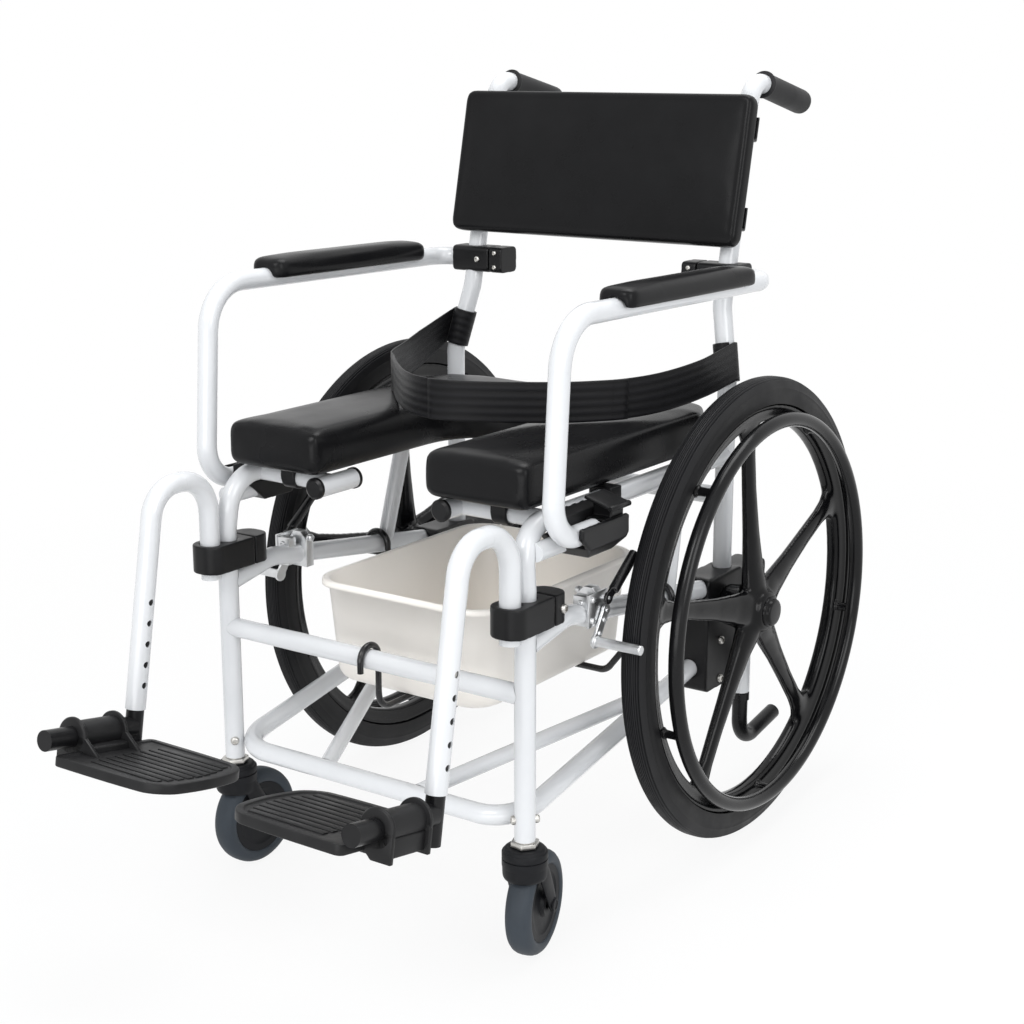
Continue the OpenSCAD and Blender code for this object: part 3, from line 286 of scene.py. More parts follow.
GRAIN, SMUDGE, STREAK = grain_group(), smudge_group(), streak_group()
print("effects", [g.name for g in (GRAIN, SMUDGE, STREAK)])

# %% [markdown]
# A finish is then a Principled shader with a pair of colours that the smudges mix, a gloss that they vary and
# a bump from the grain. Plain numbers such as sheen or coat stay on the shader's own sockets.

# %% One way to make a finish
MIX_A, MIX_B, MIX_RESULT = 6, 7, 2


def put_group(tree, group, **values):
    node = add(tree, "Group")
    node.node_tree = group
    return tune(node, **values)


def colour_mix(tree, deep, pale):
    tint = add(tree, "Mix")
    tint.data_type = "RGBA"
    tint.inputs[MIX_A].default_value = (*deep, 1)
    tint.inputs[MIX_B].default_value = (*pale, 1)
    return tint


def blank_finish(name):
    material = bpy.data.materials.new(name)
    material.use_nodes = True
    return material, material.node_tree, material.node_tree.nodes["Principled BSDF"]


def finish(name, pale, deep, gloss, smudge=9.0, grain=900.0, pebble=0.3, bump=0.1, depth=0.0002, **plain):
    material, tree, skin = blank_finish(name)
    tune(skin, **plain)
    patch = put_group(tree, SMUDGE, Scale=smudge, Low=gloss[0], High=gloss[1])
    tint = colour_mix(tree, deep, pale)
    link(tree, patch, "Mask", tint, 0)
    link(tree, tint, MIX_RESULT, skin, "Base Color")
    link(tree, patch, "Value", skin, "Roughness")
    texture = put_group(tree, GRAIN, Scale=grain, Pebble=pebble)
    relief = add(tree, "Bump", Strength=bump, Distance=depth)
    link(tree, texture, "Height", relief, "Height")
    link(tree, relief, "Normal", skin, "Normal")
    return material


print("a finish uses", SMUDGE.name, "and", GRAIN.name)

# %% [markdown]
# Each finish names its pale and deep colours, its range of roughness, the size of its smudges and its grain.
# The blacks are very dark and only a little reflective, because the white room lights them from all sides.

# %% The finishes
PAINT = finish("white_powder_coat", (0.70, 0.71, 0.725), (0.665, 0.676, 0.692), (0.16, 0.26), 14, 420, 0.0, 0.05,
               0.0003, Coat_Weight=0.35, Coat_Roughness=0.08)
PLASTIC = finish("black_moulded_plastic", (0.009, 0.009, 0.0098), (0.0055, 0.0055, 0.006), (0.28, 0.42), 22, 1500, 0.4,
                 0.22, Specular_IOR_Level=0.22)
SKIN = finish("black_foam_skin", (0.0085, 0.0085, 0.0092), (0.0055, 0.0055, 0.006), (0.24, 0.33), 7, 1100, 0.7, 0.07,
              Specular_IOR_Level=0.13)
VINYL = finish("grip_vinyl", (0.015, 0.015, 0.016), (0.010, 0.010, 0.011), (0.46, 0.60), 30, 1300, 0.6, 0.25,
               Specular_IOR_Level=0.22)
COMPOSITE = finish("black_wheel_composite", (0.0045, 0.0045, 0.0052), (0.003, 0.003, 0.0034), (0.12, 0.2), 16, 800,
                   0.2, 0.06, Specular_IOR_Level=0.2)
RIM_COAT = finish("push_rim_coat", (0.0065, 0.0065, 0.0072), (0.0045, 0.0045, 0.005), (0.14, 0.23), 30, 700, 0.0, 0.05,
                  Specular_IOR_Level=0.24)
STEEL = finish("zinc_steel", (0.62, 0.61, 0.58), (0.46, 0.45, 0.43), (0.24, 0.42), 60, 900, 0.2, 0.12, Metallic=1.0)
CREAM = finish("cream_tub_plastic", (0.965, 0.925, 0.87), (0.945, 0.90, 0.84), (0.30, 0.42), 6, 600, 0.1, 0.05,
               Specular_IOR_Level=0.4)
DIPPED = finish("vinyl_dipped_rod", (0.009, 0.009, 0.010), (0.006, 0.006, 0.007), (0.16, 0.28), 40, 300, 0.0, 0.12,
                Specular_IOR_Level=0.5)
TREAD = finish("black_tread_plastic", (0.013, 0.013, 0.0138), (0.0075, 0.0075, 0.008), (0.36, 0.54), 26, 1200, 0.5,
               0.25, Specular_IOR_Level=0.24)
EXTENSION = finish("black_coated_tube", (0.009, 0.009, 0.0098), (0.006, 0.006, 0.0066), (0.26, 0.38), 25, 600, 0.2,
                   0.08, Specular_IOR_Level=0.24)
GREY_TYRE = finish("grey_caster_rubber", (0.040, 0.050, 0.062), (0.030, 0.037, 0.046), (0.50, 0.66), 18, 1400, 0.5,
                   0.2, Specular_IOR_Level=0.3)
FORK = finish("fork_nylon", (0.0105, 0.011, 0.013), (0.007, 0.0073, 0.0085), (0.44, 0.58), 24, 1500, 0.4, 0.2,
              Specular_IOR_Level=0.16)
print("finishes", sorted(m.name for m in bpy.data.materials))

# %% [markdown]
# Bare alloy on the brakes is sawn and drawn bar, so its bump runs in streaks. Tyre rubber is dusty on the
# tread and blacker down the sidewall: the distance from the axle line tells which is which.

# %% Two finishes with their own rule
def alloy_finish():
    material = finish("drawn_alloy", (0.74, 0.75, 0.76), (0.60, 0.61, 0.62), (0.26, 0.40), 40, 900, 0.1, 0.1,
                      Metallic=1.0)
    tree = material.node_tree
    streak = put_group(tree, STREAK, Scale=90.0, Stretch=14.0)
    relief = tune(next(n for n in tree.nodes if n.type == "BUMP"), Strength=0.25)
    link(tree, streak, "Height", relief, "Height")
    return material


def tyre_finish():
    material = finish("black_tyre_rubber", (0.0075, 0.0075, 0.0083), (0.005, 0.005, 0.0056), (0.42, 0.58), 20, 1000,
                      0.5, 0.2, Specular_IOR_Level=0.22)
    tree = material.node_tree
    skin = tree.nodes["Principled BSDF"]
    place = add(tree, "TexCoord")
    centre = add(tree, "Mapping", Location=(0, -AXLE_BACK, -AXLE_HEIGHT))
    link(tree, place, "Object", centre, "Vector")
    flat = add(tree, "VectorMath", "MULTIPLY")
    flat.inputs[1].default_value = (0, 1, 1)
    link(tree, centre, 0, flat, 0)
    far = add(tree, "VectorMath", "LENGTH")
    link(tree, flat, 0, far, 0)
    dust = add(tree, "MapRange", From_Min=0.288, From_Max=0.305, To_Min=0.0, To_Max=0.55)
    link(tree, far, "Value", dust, "Value")
    bloom = colour_mix(tree, (0, 0, 0), (0.0125, 0.0127, 0.0147))
    tree.links.new(skin.inputs["Base Color"].links[0].from_socket, bloom.inputs[MIX_A])
    link(tree, dust, "Result", bloom, 0)
    link(tree, bloom, MIX_RESULT, skin, "Base Color")
    return material


ALLOY, TYRE = alloy_finish(), tyre_finish()
print("rules", ALLOY.name, TYRE.name)

# %% [markdown]
# Every solid first gets the finish its record names. Pieces that are replaced further down lose nothing by
# it, and the tubes, rods and pins keep it to the end.

# %% Dress the solids
SLOT_FINISH = {
    "white_paint": PAINT, "black_plastic": PLASTIC, "pad_skin": SKIN, "grip_rubber": VINYL, "steel": STEEL,
    "alloy": ALLOY, "coated_rod": DIPPED, "cream_plastic": CREAM, "plate_plastic": TREAD, "black_coat": EXTENSION,
    "wheel_plastic": COMPOSITE, "drive_tread": TYRE, "rim_coat": RIM_COAT, "hub_plastic": PLASTIC,
    "caster_tread": GREY_TYRE, "lever_sleeve": DIPPED, "webbing": SKIN,
}
for part in frame["record"]["subparts"]:
    mesh = frame["nodes"][part["node"]].data
    mesh.materials.clear()
    mesh.materials.append(SLOT_FINISH[part["material_slot"]])

# %% [markdown]
# ## Helpers that every piece uses
# A new piece ends the same way each time: its doubles are merged, its faces are turned outwards, it is shaded
# smooth up to a crease angle, it gets its finish, and it is told which body of the chair it moves with. A
# profile spun round the X axis makes every turned piece, and a section pulled through stations every bar.

# %% Helpers for whole pieces
def solid_copy(node):
    bm = bmesh.new()
    bm.from_mesh(frame["nodes"][node].data)
    bmesh.ops.remove_doubles(bm, verts=bm.verts, dist=2e-5)
    return bm


def move(bm, *steps):
    for step in steps:
        bmesh.ops.transform(bm, matrix=step, verts=bm.verts)
    return bm


def join(bm, other):
    mesh = bpy.data.meshes.new("joining")
    other.to_mesh(mesh)
    other.free()
    bm.from_mesh(mesh)
    bpy.data.meshes.remove(mesh)
    return bm


def settle(name, bm, look, body, nodes=(), angle=38):
    bmesh.ops.remove_doubles(bm, verts=bm.verts, dist=2e-6)
    bmesh.ops.recalc_face_normals(bm, faces=bm.faces)
    made = as_object(name, bm)
    made.data.shade_smooth()
    made.data.set_sharp_from_angle(angle=math.radians(angle))
    made.data.materials.append(look)
    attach(made, body)
    if nodes:
        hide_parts(*nodes)
    print(name, len(made.data.polygons), "faces")
    return made


print("one chair millimetre is", round(CHAIR.to_scale()[0], 4), "m")

# %% [markdown]
# Rough shapes are joined and then covered with one even skin that is smoothed, which makes the fillets of a
# moulding. Bevels all use the same round profile, and a flat face pulled along one way makes a plate.

# %% Helpers for shapes
def turned(profile, steps=96, loop=False):
    bm = bmesh.new()
    line = [bm.verts.new((x, r, 0)) for x, r in profile]
    edges = [bm.edges.new(pair) for pair in zip(line, line[1:])]
    if loop:
        edges.append(bm.edges.new((line[-1], line[0])))
    bmesh.ops.spin(bm, geom=line + edges, cent=(0, 0, 0), axis=(1, 0, 0), angle=math.tau, steps=steps, use_merge=True)
    bmesh.ops.remove_doubles(bm, verts=bm.verts, dist=1e-4)
    return bm


def both_ways(half):
    return half + [(-x, r) for x, r in reversed(half)]


def pull(bm, stations, sides=8):
    ring = bmesh.ops.create_circle(bm, cap_ends=True, segments=sides, radius=1, matrix=stations[0])["verts"]
    face = ring[0].link_faces[0]
    for last, now in zip(stations, stations[1:]):
        grown = bmesh.ops.extrude_face_region(bm, geom=[face])["geom"]
        face = next(g for g in grown if isinstance(g, bmesh.types.BMFace))
        bmesh.ops.transform(bm, matrix=now @ last.inverted(), verts=list(face.verts))


def smooth(bm, rounds):
    for _ in range(rounds):
        bmesh.ops.smooth_vert(bm, verts=bm.verts, factor=0.5, use_axis_x=True, use_axis_y=True, use_axis_z=True)
    return bm


def moulded(bm, voxel, rounds):
    blank = as_object("blank", bm)
    skin = blank.modifiers.new("skin", "REMESH")
    skin.mode = "VOXEL"
    skin.voxel_size = voxel
    done = bmesh.new()
    done.from_object(blank, bpy.context.evaluated_depsgraph_get())
    mesh = blank.data
    bpy.data.objects.remove(blank)
    bpy.data.meshes.remove(mesh)
    return smooth(done, rounds)


def only(kind, geom):
    return [g for g in geom if isinstance(g, kind)]


def thicken(bm, vec):
    grown = bmesh.ops.extrude_face_region(bm, geom=bm.faces[:])["geom"]
    bmesh.ops.translate(bm, verts=only(bmesh.types.BMVert, grown), vec=vec)
    bmesh.ops.recalc_face_normals(bm, faces=bm.faces)
    return bm


def bevel(bm, geom, offset, segments, affect="EDGES", **more):
    bmesh.ops.bevel(bm, geom=geom, offset=offset, offset_type="OFFSET", segments=segments, profile=0.5, affect=affect,
                    material=-1, **more)
    return bm


def soften(bm, width, segments=2, angle=35):
    sharp = [e for e in bm.edges if len(e.link_faces) == 2 and e.calc_face_angle(0) > math.radians(angle)]
    return bevel(bm, sharp, width, segments, clamp_overlap=True)


def brick(low, high, width, segments=2):
    bm = bmesh.new()
    middle = [(a + b) / 2 for a, b in zip(low, high)]
    size = [b - a for a, b in zip(low, high)]
    bmesh.ops.create_cube(bm, size=1, matrix=Matrix.Translation(middle) @ Matrix.Diagonal((*size, 1)))
    return soften(bm, width, segments)


def outline_block(points, y0, y1, ease):
    bm = bmesh.new()
    bm.faces.new([bm.verts.new((x, y0, z)) for x, z in points])
    return soften(thicken(bm, (0, y1 - y0, 0)), ease)


print("shapes", [f.__name__ for f in (turned, pull, moulded, brick, outline_block)])

# %% [markdown]
# ## Pads
# The seat, the back and the arm pads are foam moulded under its own tight skin. Each starts from its solid,
# made a little thinner, is covered with an even net of quads and blown up by a short cloth run with the side
# that rests on the frame held still. The swelling is capped, so a pad fills its own room and no more.

# %% A pad blown up from its solid
CLOTH_FRAMES = 20


def blow_up(made, base, swell):
    start = [v.co.copy() for v in made.data.vertices]
    made.vertex_groups.new(name="base").add(base, 1.0, "REPLACE")
    cloth = made.modifiers.new("foam", "CLOTH").settings
    cloth.use_pressure = True
    cloth.uniform_pressure_force = 4
    cloth.effector_weights.gravity = 0
    cloth.vertex_group_mass = "base"
    for number in range(1, CLOTH_FRAMES + 1):
        bpy.context.scene.frame_set(number)
    blown = made.evaluated_get(bpy.context.evaluated_depsgraph_get())
    after = [v.co.copy() for v in blown.data.vertices]
    made.modifiers.clear()
    made.vertex_groups.clear()
    bpy.context.scene.frame_set(1)
    for v, a, b in zip(made.data.vertices, start, after):
        step = b - a
        v.co = a + step * min(1.0, swell / max(step.length, 1e-9))


def pad(name, node, body, home, under, thin, voxel, swell, shape=None):
    bm = move(solid_copy(node), home.inverted())
    bm.normal_update()
    for v in bm.verts:
        if v.normal.dot(under) < 0.5:
            v.co -= v.normal * thin
    bm = moulded(bm, voxel, 1)
    bm.normal_update()
    base = [v.index for v in bm.verts if v.normal.dot(under) > 0.6]
    blank = as_object(name, bm)
    blow_up(blank, base, swell)
    bm, mesh = bmesh.new(), blank.data
    bm.from_mesh(mesh)
    smooth(bm, 4)
    if shape:
        shape(bm)
    move(bm, home)
    bpy.data.objects.remove(blank)
    bpy.data.meshes.remove(mesh)
    made = settle(name, bm, SKIN, body, [node], 180)
    finer = made.modifiers.new("finer", "SUBSURF")
    finer.levels = finer.render_levels = 1


DOWN, REAR = Vector((0, 0, -1)), Vector((0, 1, 0))
pad("seat_cushion", "seat_pad", "frame", CHAIR @ FROM_METRES, DOWN, 0.0010, 0.0046, 0.0011)

# %% [markdown]
# The back pad has a raised border round a slightly sunken panel. The net's rows run along the pad's edges,
# so the step is made by pushing in every point of the face that is more than the border's width from an edge.

# %% Back pad
BACK_HALF_WIDE, BACK_HALF_TALL, BACK_FACE = 0.2285, 0.1, -0.021
BORDER, BORDER_STEP, PANEL_DEPTH = 0.0085, 0.003, 0.0013


def sink_panel(bm):
    for v in bm.verts:
        edge = min(BACK_HALF_WIDE - abs(v.co.x), BACK_HALF_TALL - abs(v.co.z))
        if v.co.y < BACK_FACE:
            v.co.y += PANEL_DEPTH * min(1.0, max(0.0, (edge - BORDER) / BORDER_STEP))


back_home = CHAIR @ Matrix.Translation((0, 74.034, 861)) @ Matrix.Rotation(math.radians(-12.4), 4, "X") @ FROM_METRES
pad("back_cushion", "back_pad", "frame", back_home, REAR, 0.0008, 0.0036, 0.0009, sink_panel)

# %% [markdown]
# The arm pads are long noses of the same foam, wrapped over the arm tube. They lie along the tube, which
# falls a little to the rear, so their net is turned with it.

# %% Arm pads
ARM_PLACE, ARM_FALL = Matrix.Translation((262, 60.355, 728)), Matrix.Rotation(math.radians(-0.596), 4, "X")
for side, mirror in SIDES.items():
    home = CHAIR @ mirror @ ARM_PLACE @ ARM_FALL @ FROM_METRES
    pad("arm_cushion_" + side, "arm_pad_" + side, "arm_" + side, home, DOWN, 0.0014, 0.0030, 0.0018)

# %% [markdown]
# ## Push grips
# A grip is a dipped vinyl sleeve: a lip where it starts, a long plain barrel and a closed round end. It is
# one profile spun round its axis and then laid along the handle.

# %% Grips
def make_grips():
    profile = [(0, 12.8), (0, 16.6), (0.6, 17.7), (2.4, 18.0), (4.2, 17.6), (5.2, 16.6), (7, 16.1), (60, 16.3)]
    profile += [(112, 16.4), (116, 15.9), (118.6, 13.6), (120, 9.5), (120.3, 0)]
    along = Vector((0, 0.976672, -0.214735))
    first = Vector((202, 259.868, 946.219)) - along * 117
    lay = Matrix.Translation(first) @ along.to_track_quat("X", "Z").to_matrix().to_4x4()
    pair = bmesh.new()
    for mirror in SIDES.values():
        join(pair, move(turned(profile, 56), CHAIR @ mirror @ lay))
    settle("push_grips", pair, VINYL, "frame", ["grips"])


make_grips()

# %% [markdown]
# ## Lap belt
# The belt is black webbing, 50 mm wide, that runs from loops round the two back tubes to the front and laps
# over itself there. Its middle line goes through listed points, low over the seat in front and rising to the
# loops, and a smooth curve fills in between them. The near loop has slipped a little down its tube.

# %% The belt's line
BELT_LOW = 599.3
NEAR_LOOP_SLIP = 12
BELT_FRONT = [(-181, -161), (-155, -190), (-127, -221), (-98, -250), (-69, -276), (-40, -294), (-10, -302), (18, -299),
              (43, -290), (70, -277), (97, -261), (137, -233), (165, -204), (190, -165)]
BELT = [(-226.67, -40, 608), (-207, -101, 601), *((x, y, BELT_LOW) for x, y in BELT_FRONT), (211, -110, 602),
        (226.67, -40, 610)]


def cane_loop(sign):
    axis = Vector((sign * -0.2035, 0.1714, 0.964))
    middle = Vector((sign * 214.667, 41.333, 630)) - axis * (NEAR_LOOP_SLIP if sign > 0 else 0)
    arm = Vector((sign * 14.9, -3.2, 0))
    arm = (arm - axis * arm.dot(axis)).normalized() * 15.2
    return [(middle + Matrix.Rotation(sign * math.radians(a), 3, axis) @ arm, axis) for a in range(0, 331, 15)]


def belt_line():
    up = Vector((0, 0, 1))
    left, right = cane_loop(1), cane_loop(-1)
    line = list(reversed(right)) + [(Vector(p), up) for p in BELT] + left
    dense = []
    for a, b, c, d in zip([line[0]] + line, line, line[1:], line[2:] + [line[-1]]):
        parts = max(1, int((c[0] - b[0]).length / 6))
        for t in (k / parts for k in range(parts)):
            p = (2 * b[0] + (c[0] - a[0]) * t + (2 * a[0] - 5 * b[0] + 4 * c[0] - d[0]) * t ** 2
                 + (3 * b[0] - a[0] - 3 * c[0] + d[0]) * t ** 3) / 2
            dense.append((p, b[1].lerp(c[1], t).normalized()))
    return dense + [line[-1]]


LINE = belt_line()
print("belt points", len(LINE))

# %% [markdown]
# Nylon webbing shows lengthwise cords with a fine cross weave between them. Both come from the strip's map:
# a sine across the width makes the cords, a checker of threads breaks them up, and the two feed the bump and
# a very small painted shade in the colour: darker where the weave sinks, lighter on the raised cords. A little sheen
# gives the brushed grey light along the folds.

# %% Webbing finish
CORD_PITCH = 0.0100


def webbing_finish():
    material, tree, skin = blank_finish("black_webbing")
    tune(skin, Roughness=0.40, Sheen_Weight=0.04, Sheen_Roughness=0.4, Specular_IOR_Level=0.16)
    strap_map = add(tree, "UVMap")
    strap_map.uv_map = "strap"
    parts = add(tree, "SeparateXYZ")
    link(tree, strap_map, 0, parts, 0)
    across = add(tree, "Math", "MULTIPLY")
    across.inputs[1].default_value = math.tau / CORD_PITCH
    link(tree, parts, "Y", across, 0)
    cords = add(tree, "Math", "SINE")
    link(tree, across, 0, cords, 0)
    threads = add(tree, "TexChecker", Scale=1100)
    link(tree, strap_map, 0, threads, "Vector")
    height = add(tree, "Math", "MULTIPLY_ADD")
    height.inputs[1].default_value = 0.35
    link(tree, threads, "Fac", height, 0)
    link(tree, cords, 0, height, 2)
    relief = add(tree, "Bump", Strength=0.35, Distance=0.0005)
    link(tree, height, 0, relief, "Height")
    link(tree, relief, 0, skin, "Normal")
    # painted shade: the colour follows the weave's height, darker in its hollows and lighter on the cords
    weave_painted_shade = add(tree, "MapRange", From_Min=-1, From_Max=1.35)
    link(tree, height, 0, weave_painted_shade, "Value")
    tint = colour_mix(tree, (0.003, 0.003, 0.0036), (0.0095, 0.0095, 0.011))
    link(tree, weave_painted_shade, 0, tint, 0)
    link(tree, tint, MIX_RESULT, skin, "Base Color")
    return material


WEBBING = webbing_finish()
print("webbing", WEBBING.name)

# %% [markdown]
# A flat grid is the strap as it was cut, and each of its columns is moved to its place on the line. Its own
# map holds metres along and across, so the weave follows the strap.

# %% The strap
STRAP_HALF, STRAP_ROWS, STRAP_THICK = 25, 20, 0.002
CORD_HEIGHT = 0.12


def strap(name, line, out, nodes):
    bm = bmesh.new()
    strap_map = bm.loops.layers.uv.new("strap")
    last = len(line) - 1
    bmesh.ops.create_grid(bm, x_segments=last, y_segments=STRAP_ROWS, size=1)
    far = [0.0]
    for a, b in zip(line, line[1:]):
        far.append(far[-1] + (b[0] - a[0]).length)
    spot = {}
    for v in bm.verts:
        k, r = round((v.co.x + 1) / 2 * last), round((v.co.y + 1) / 2 * STRAP_ROWS)
        spot[v] = (far[k] / 1000, STRAP_HALF * r * 2 / STRAP_ROWS / 1000)
        point, up = line[k]
        face = (line[min(k + 1, last)][0] - line[max(k - 1, 0)][0]).cross(up).normalized()
        cord = CORD_HEIGHT * math.sin(math.pi * 5 * r / STRAP_ROWS) ** 2
        v.co = point + up * STRAP_HALF * (2 * r / STRAP_ROWS - 1) + face * (out + cord)
    for f in bm.faces:
        for loop in f.loops:
            loop[strap_map].uv = spot[loop.vert]
    move(bm, CHAIR)
    made = settle(name, bm, WEBBING, "frame", nodes, 60)
    wall = made.modifiers.new("cloth", "SOLIDIFY")
    wall.thickness = STRAP_THICK
    wall.offset = 0
    print(name, "cut", round(STRAP_HALF * 2), "x", round(far[-1]), "mm")


strap("lap_belt", LINE, 0, ["belt"])

# %% [markdown]
# Along the front the strap's free end is pressed over the other half. It is a second, shorter strip just
# outside the first, with two rows of stitches across its near end.

# %% The lapped end
LAP_START, LAP_END, LAP_BACK = -12, 191, -100
LAP_OUT, STITCH_OUT = 3.0, 4.5


def lap():
    near = [k for k, (p, _) in enumerate(LINE) if LAP_START < p.x < LAP_END and p.y < LAP_BACK]
    strap("belt_lap", LINE[near[0]:near[-1] + 1], LAP_OUT, [])
    bm = bmesh.new()
    for k in (near[-1], near[-1] - 3):
        point, up = LINE[k]
        ahead = (LINE[k + 1][0] - LINE[k - 1][0]).normalized()
        face = ahead.cross(up)
        lie = Matrix((ahead, face, up)).transposed().to_4x4() @ Matrix.Diagonal((0.35, 0.3, 1.3, 1))
        for q in range(12):
            stitch = Matrix.Translation(point + face * STITCH_OUT + up * (q * 4 - 22)) @ lie
            bmesh.ops.create_icosphere(bm, subdivisions=1, radius=1, matrix=stitch)
    settle("belt_stitches", move(bm, CHAIR), SKIN, "frame")


lap()

# %% [markdown]
# ## Drive wheels
# The wheels are one-piece mouldings of glossy black composite: a deep rim, a hub and five spokes that
# swell into both. The rough parts are spun and pulled, then one even skin is drawn over them all and
# smoothed, so the corners between spoke, rim and hub become the fillets of a moulding.

# %% Composite wheels
WHEEL_OUT, WHEEL_RADIUS = 283, 305
SPOKES, FIRST_SPOKE = 5, 95
SPOKE_STATIONS = ((8, 24, 14, 7), (32, 24, 14.5, 7), (58, 20, 12, 5), (105, 15.5, 9.8, 3), (165, 13, 8.6, 1),
                  (212, 12.8, 8.2, 0.5), (232, 16.5, 8.2, 0.5), (244, 26, 8.4, 0.5), (252, 40, 8.6, 0.5))


def on_wheel(mirror):
    return CHAIR @ mirror @ Matrix.Translation((WHEEL_OUT, 0, WHEEL_RADIUS))


def spoke_turn(number):
    return Matrix.Rotation(math.radians(FIRST_SPOKE + 360 / SPOKES * number), 4, "X")


def composite_wheel(side, mirror):
    rim = [(-9, 249), (-4, 247), (4, 247), (9, 249), (10.5, 256), (11.5, 262), (14.2, 266), (14.2, 270.2),
           (-14.2, 270.2), (-14.2, 266), (-11.5, 262), (-10.5, 256)]
    bm = turned(rim, 160, loop=True)
    hub = [(-35.8, 8.3), (-35.8, 25), (-33, 27), (-20, 28), (-8, 32), (6, 34), (14, 31), (20, 28.6), (26, 27),
           (29.4, 24.5), (30, 21), (30, 8.3)]
    join(bm, turned(hub, 64, loop=True))
    for k in range(SPOKES):
        pull(bm, [spoke_turn(k) @ Matrix.Translation((out, r, 0))
                  @ Matrix(((0, thick, 0, 0), (0, 0, 1, 0), (wide, 0, 0, 0), (0, 0, 0, 1)))
                  for r, wide, thick, out in SPOKE_STATIONS], 16)
    bm = moulded(move(bm, TO_METRES), 0.0026, 5)
    cap = [(27, 20.6), (31.5, 20.4), (32.6, 19.6), (32.8, 18.2), (33.4, 17.6), (36.6, 17.2), (37.6, 16), (38, 13),
           (38.2, 0)]
    join(bm, move(turned(cap, 48), TO_METRES))
    move(bm, FROM_METRES, on_wheel(mirror))
    settle("composite_wheel_" + side, bm, COMPOSITE, "wheel_" + side, ["drive_wheel_" + side], 50)


for side, mirror in SIDES.items():
    composite_wheel(side, mirror)

# %% [markdown]
# The tyres are black rubber with a round crown. Fine grooves run round the tread, and a raised bead line
# runs round the sidewall. The profile is listed once from bead to crown, mirrored and spun.

# %% Drive tyres
def drive_tyre(side, mirror):
    half = [(15.2, 270.4), (15.6, 275), (16, 281), (15.8, 286), (15.0, 290), (15.2, 290.8), (14.8, 291.8),
            (14.0, 294.2)]
    for k in range(5):
        x = 12.6 - 2.5 * k
        r = WHEEL_RADIUS - 13 * (1 - math.sqrt(max(0.0, 1 - (max(0.0, x - 3) / 13) ** 2)))
        half += [(x, r), (x - 0.9, r + 0.15), (x - 1.25, r - 1.0), (x - 1.6, r - 1.0), (x - 1.9, r + 0.2)]
    profile = both_ways([(x, min(r, WHEEL_RADIUS)) for x, r in half])
    bm = move(turned(profile, 200, loop=True), on_wheel(mirror))
    settle("drive_tyre_skin_" + side, bm, TYRE, "wheel_" + side, ["drive_tyre_" + side], 30)


for side, mirror in SIDES.items():
    drive_tyre(side, mirror)

# %% [markdown]
# The push rim is a coated tube ring that stands off the wheel on five short posts. Each post has a foot that
# widens on the rim and a saddle that widens under the tube.

# %% Push rims
RING_OUT, RING_RADIUS, RING_TUBE, RING_SIDES = 35, 253, 9.5, 24


def push_ring(side, mirror):
    turns = [math.tau * k / RING_SIDES for k in range(RING_SIDES)]
    ring = [(RING_OUT + RING_TUBE * math.cos(a), RING_RADIUS + RING_TUBE * math.sin(a)) for a in turns]
    bm = turned(ring, 160, loop=True)
    post = [(9, 0), (9, 7.6), (10.4, 7.4), (12, 5.8), (14, 5.0), (24, 4.8), (28, 5.4), (31, 7.2), (32, 8), (33, 0)]
    stand = Matrix.Translation((0, 254, 0)) @ Matrix.Diagonal((1, 0.8, 1.25, 1))
    for k in range(SPOKES):
        join(bm, move(turned(post, 24), spoke_turn(k + 0.5) @ stand))
    settle("push_ring_" + side, move(bm, on_wheel(mirror)), RIM_COAT, "wheel_" + side, ["push_rim_" + side])


for side, mirror in SIDES.items():
    push_ring(side, mirror)

# %% [markdown]
# ## Casters
# A caster has a round swivel housing of stacked rings, and a fork that falls back from it and holds the wheel
# on both sides. The housing is spun. The fork's crown and its two arms are roughed out with a part spin and
# pulled bars, and get one smooth skin, as a moulding has.

# %% Caster forks
CASTERS = {"l": (1, 13), "r": (-1, -3)}
CASTER_AXLE, CASTER_TRAIL = 33.7064, 31
CROWN_CENTRE = (0, CASTER_TRAIL, 33.7)
CROWN_START, CROWN_SWEEP = math.radians(40), math.radians(-26)
UPRIGHT = Matrix.Rotation(math.radians(-90), 4, "Y")
ARM_STATIONS = ((6, 94, 14, 4.6), (10, 82, 19, 4.8), (17, 66, 23, 4.2), (24, 50, 20, 3.8), (30, 36, 15, 3.5),
                (33, 27, 11, 3.3), (35.5, 21, 5, 3.0))


def at_caster(side):
    sign, turn = CASTERS[side]
    return CHAIR @ Matrix.Translation((sign * POST_OUT, POST_FRONT, 0)) @ Matrix.Rotation(math.radians(turn), 4, "Z")


def fork_arm(bm, s):
    tilt = Matrix.Rotation(math.radians(-28), 4, "X")
    pull(bm, [Matrix.Translation((s * (22.2 if z < 60 else 21.4), y, z)) @ tilt
              @ Matrix(((thick, 0, 0, 0), (0, wide, 0, 0), (0, 0, -1, 0), (0, 0, 0, 1)))
              for y, z, wide, thick in ARM_STATIONS], 16)


def fork_crown(bm):
    section = ((-21, 66.5), (-20, 70), (-13, 73), (13, 73), (20, 70), (21, 66.5))
    crown = [bm.verts.new((x, CASTER_TRAIL, CROWN_CENTRE[2] + r)) for x, r in section]
    face = bm.faces.new(crown)
    bmesh.ops.rotate(bm, verts=crown, cent=CROWN_CENTRE, matrix=Matrix.Rotation(CROWN_START, 3, "X"))
    bmesh.ops.spin(bm, geom=[face], cent=CROWN_CENTRE, axis=(1, 0, 0), angle=CROWN_SWEEP, steps=6)
    bmesh.ops.recalc_face_normals(bm, faces=bm.faces)


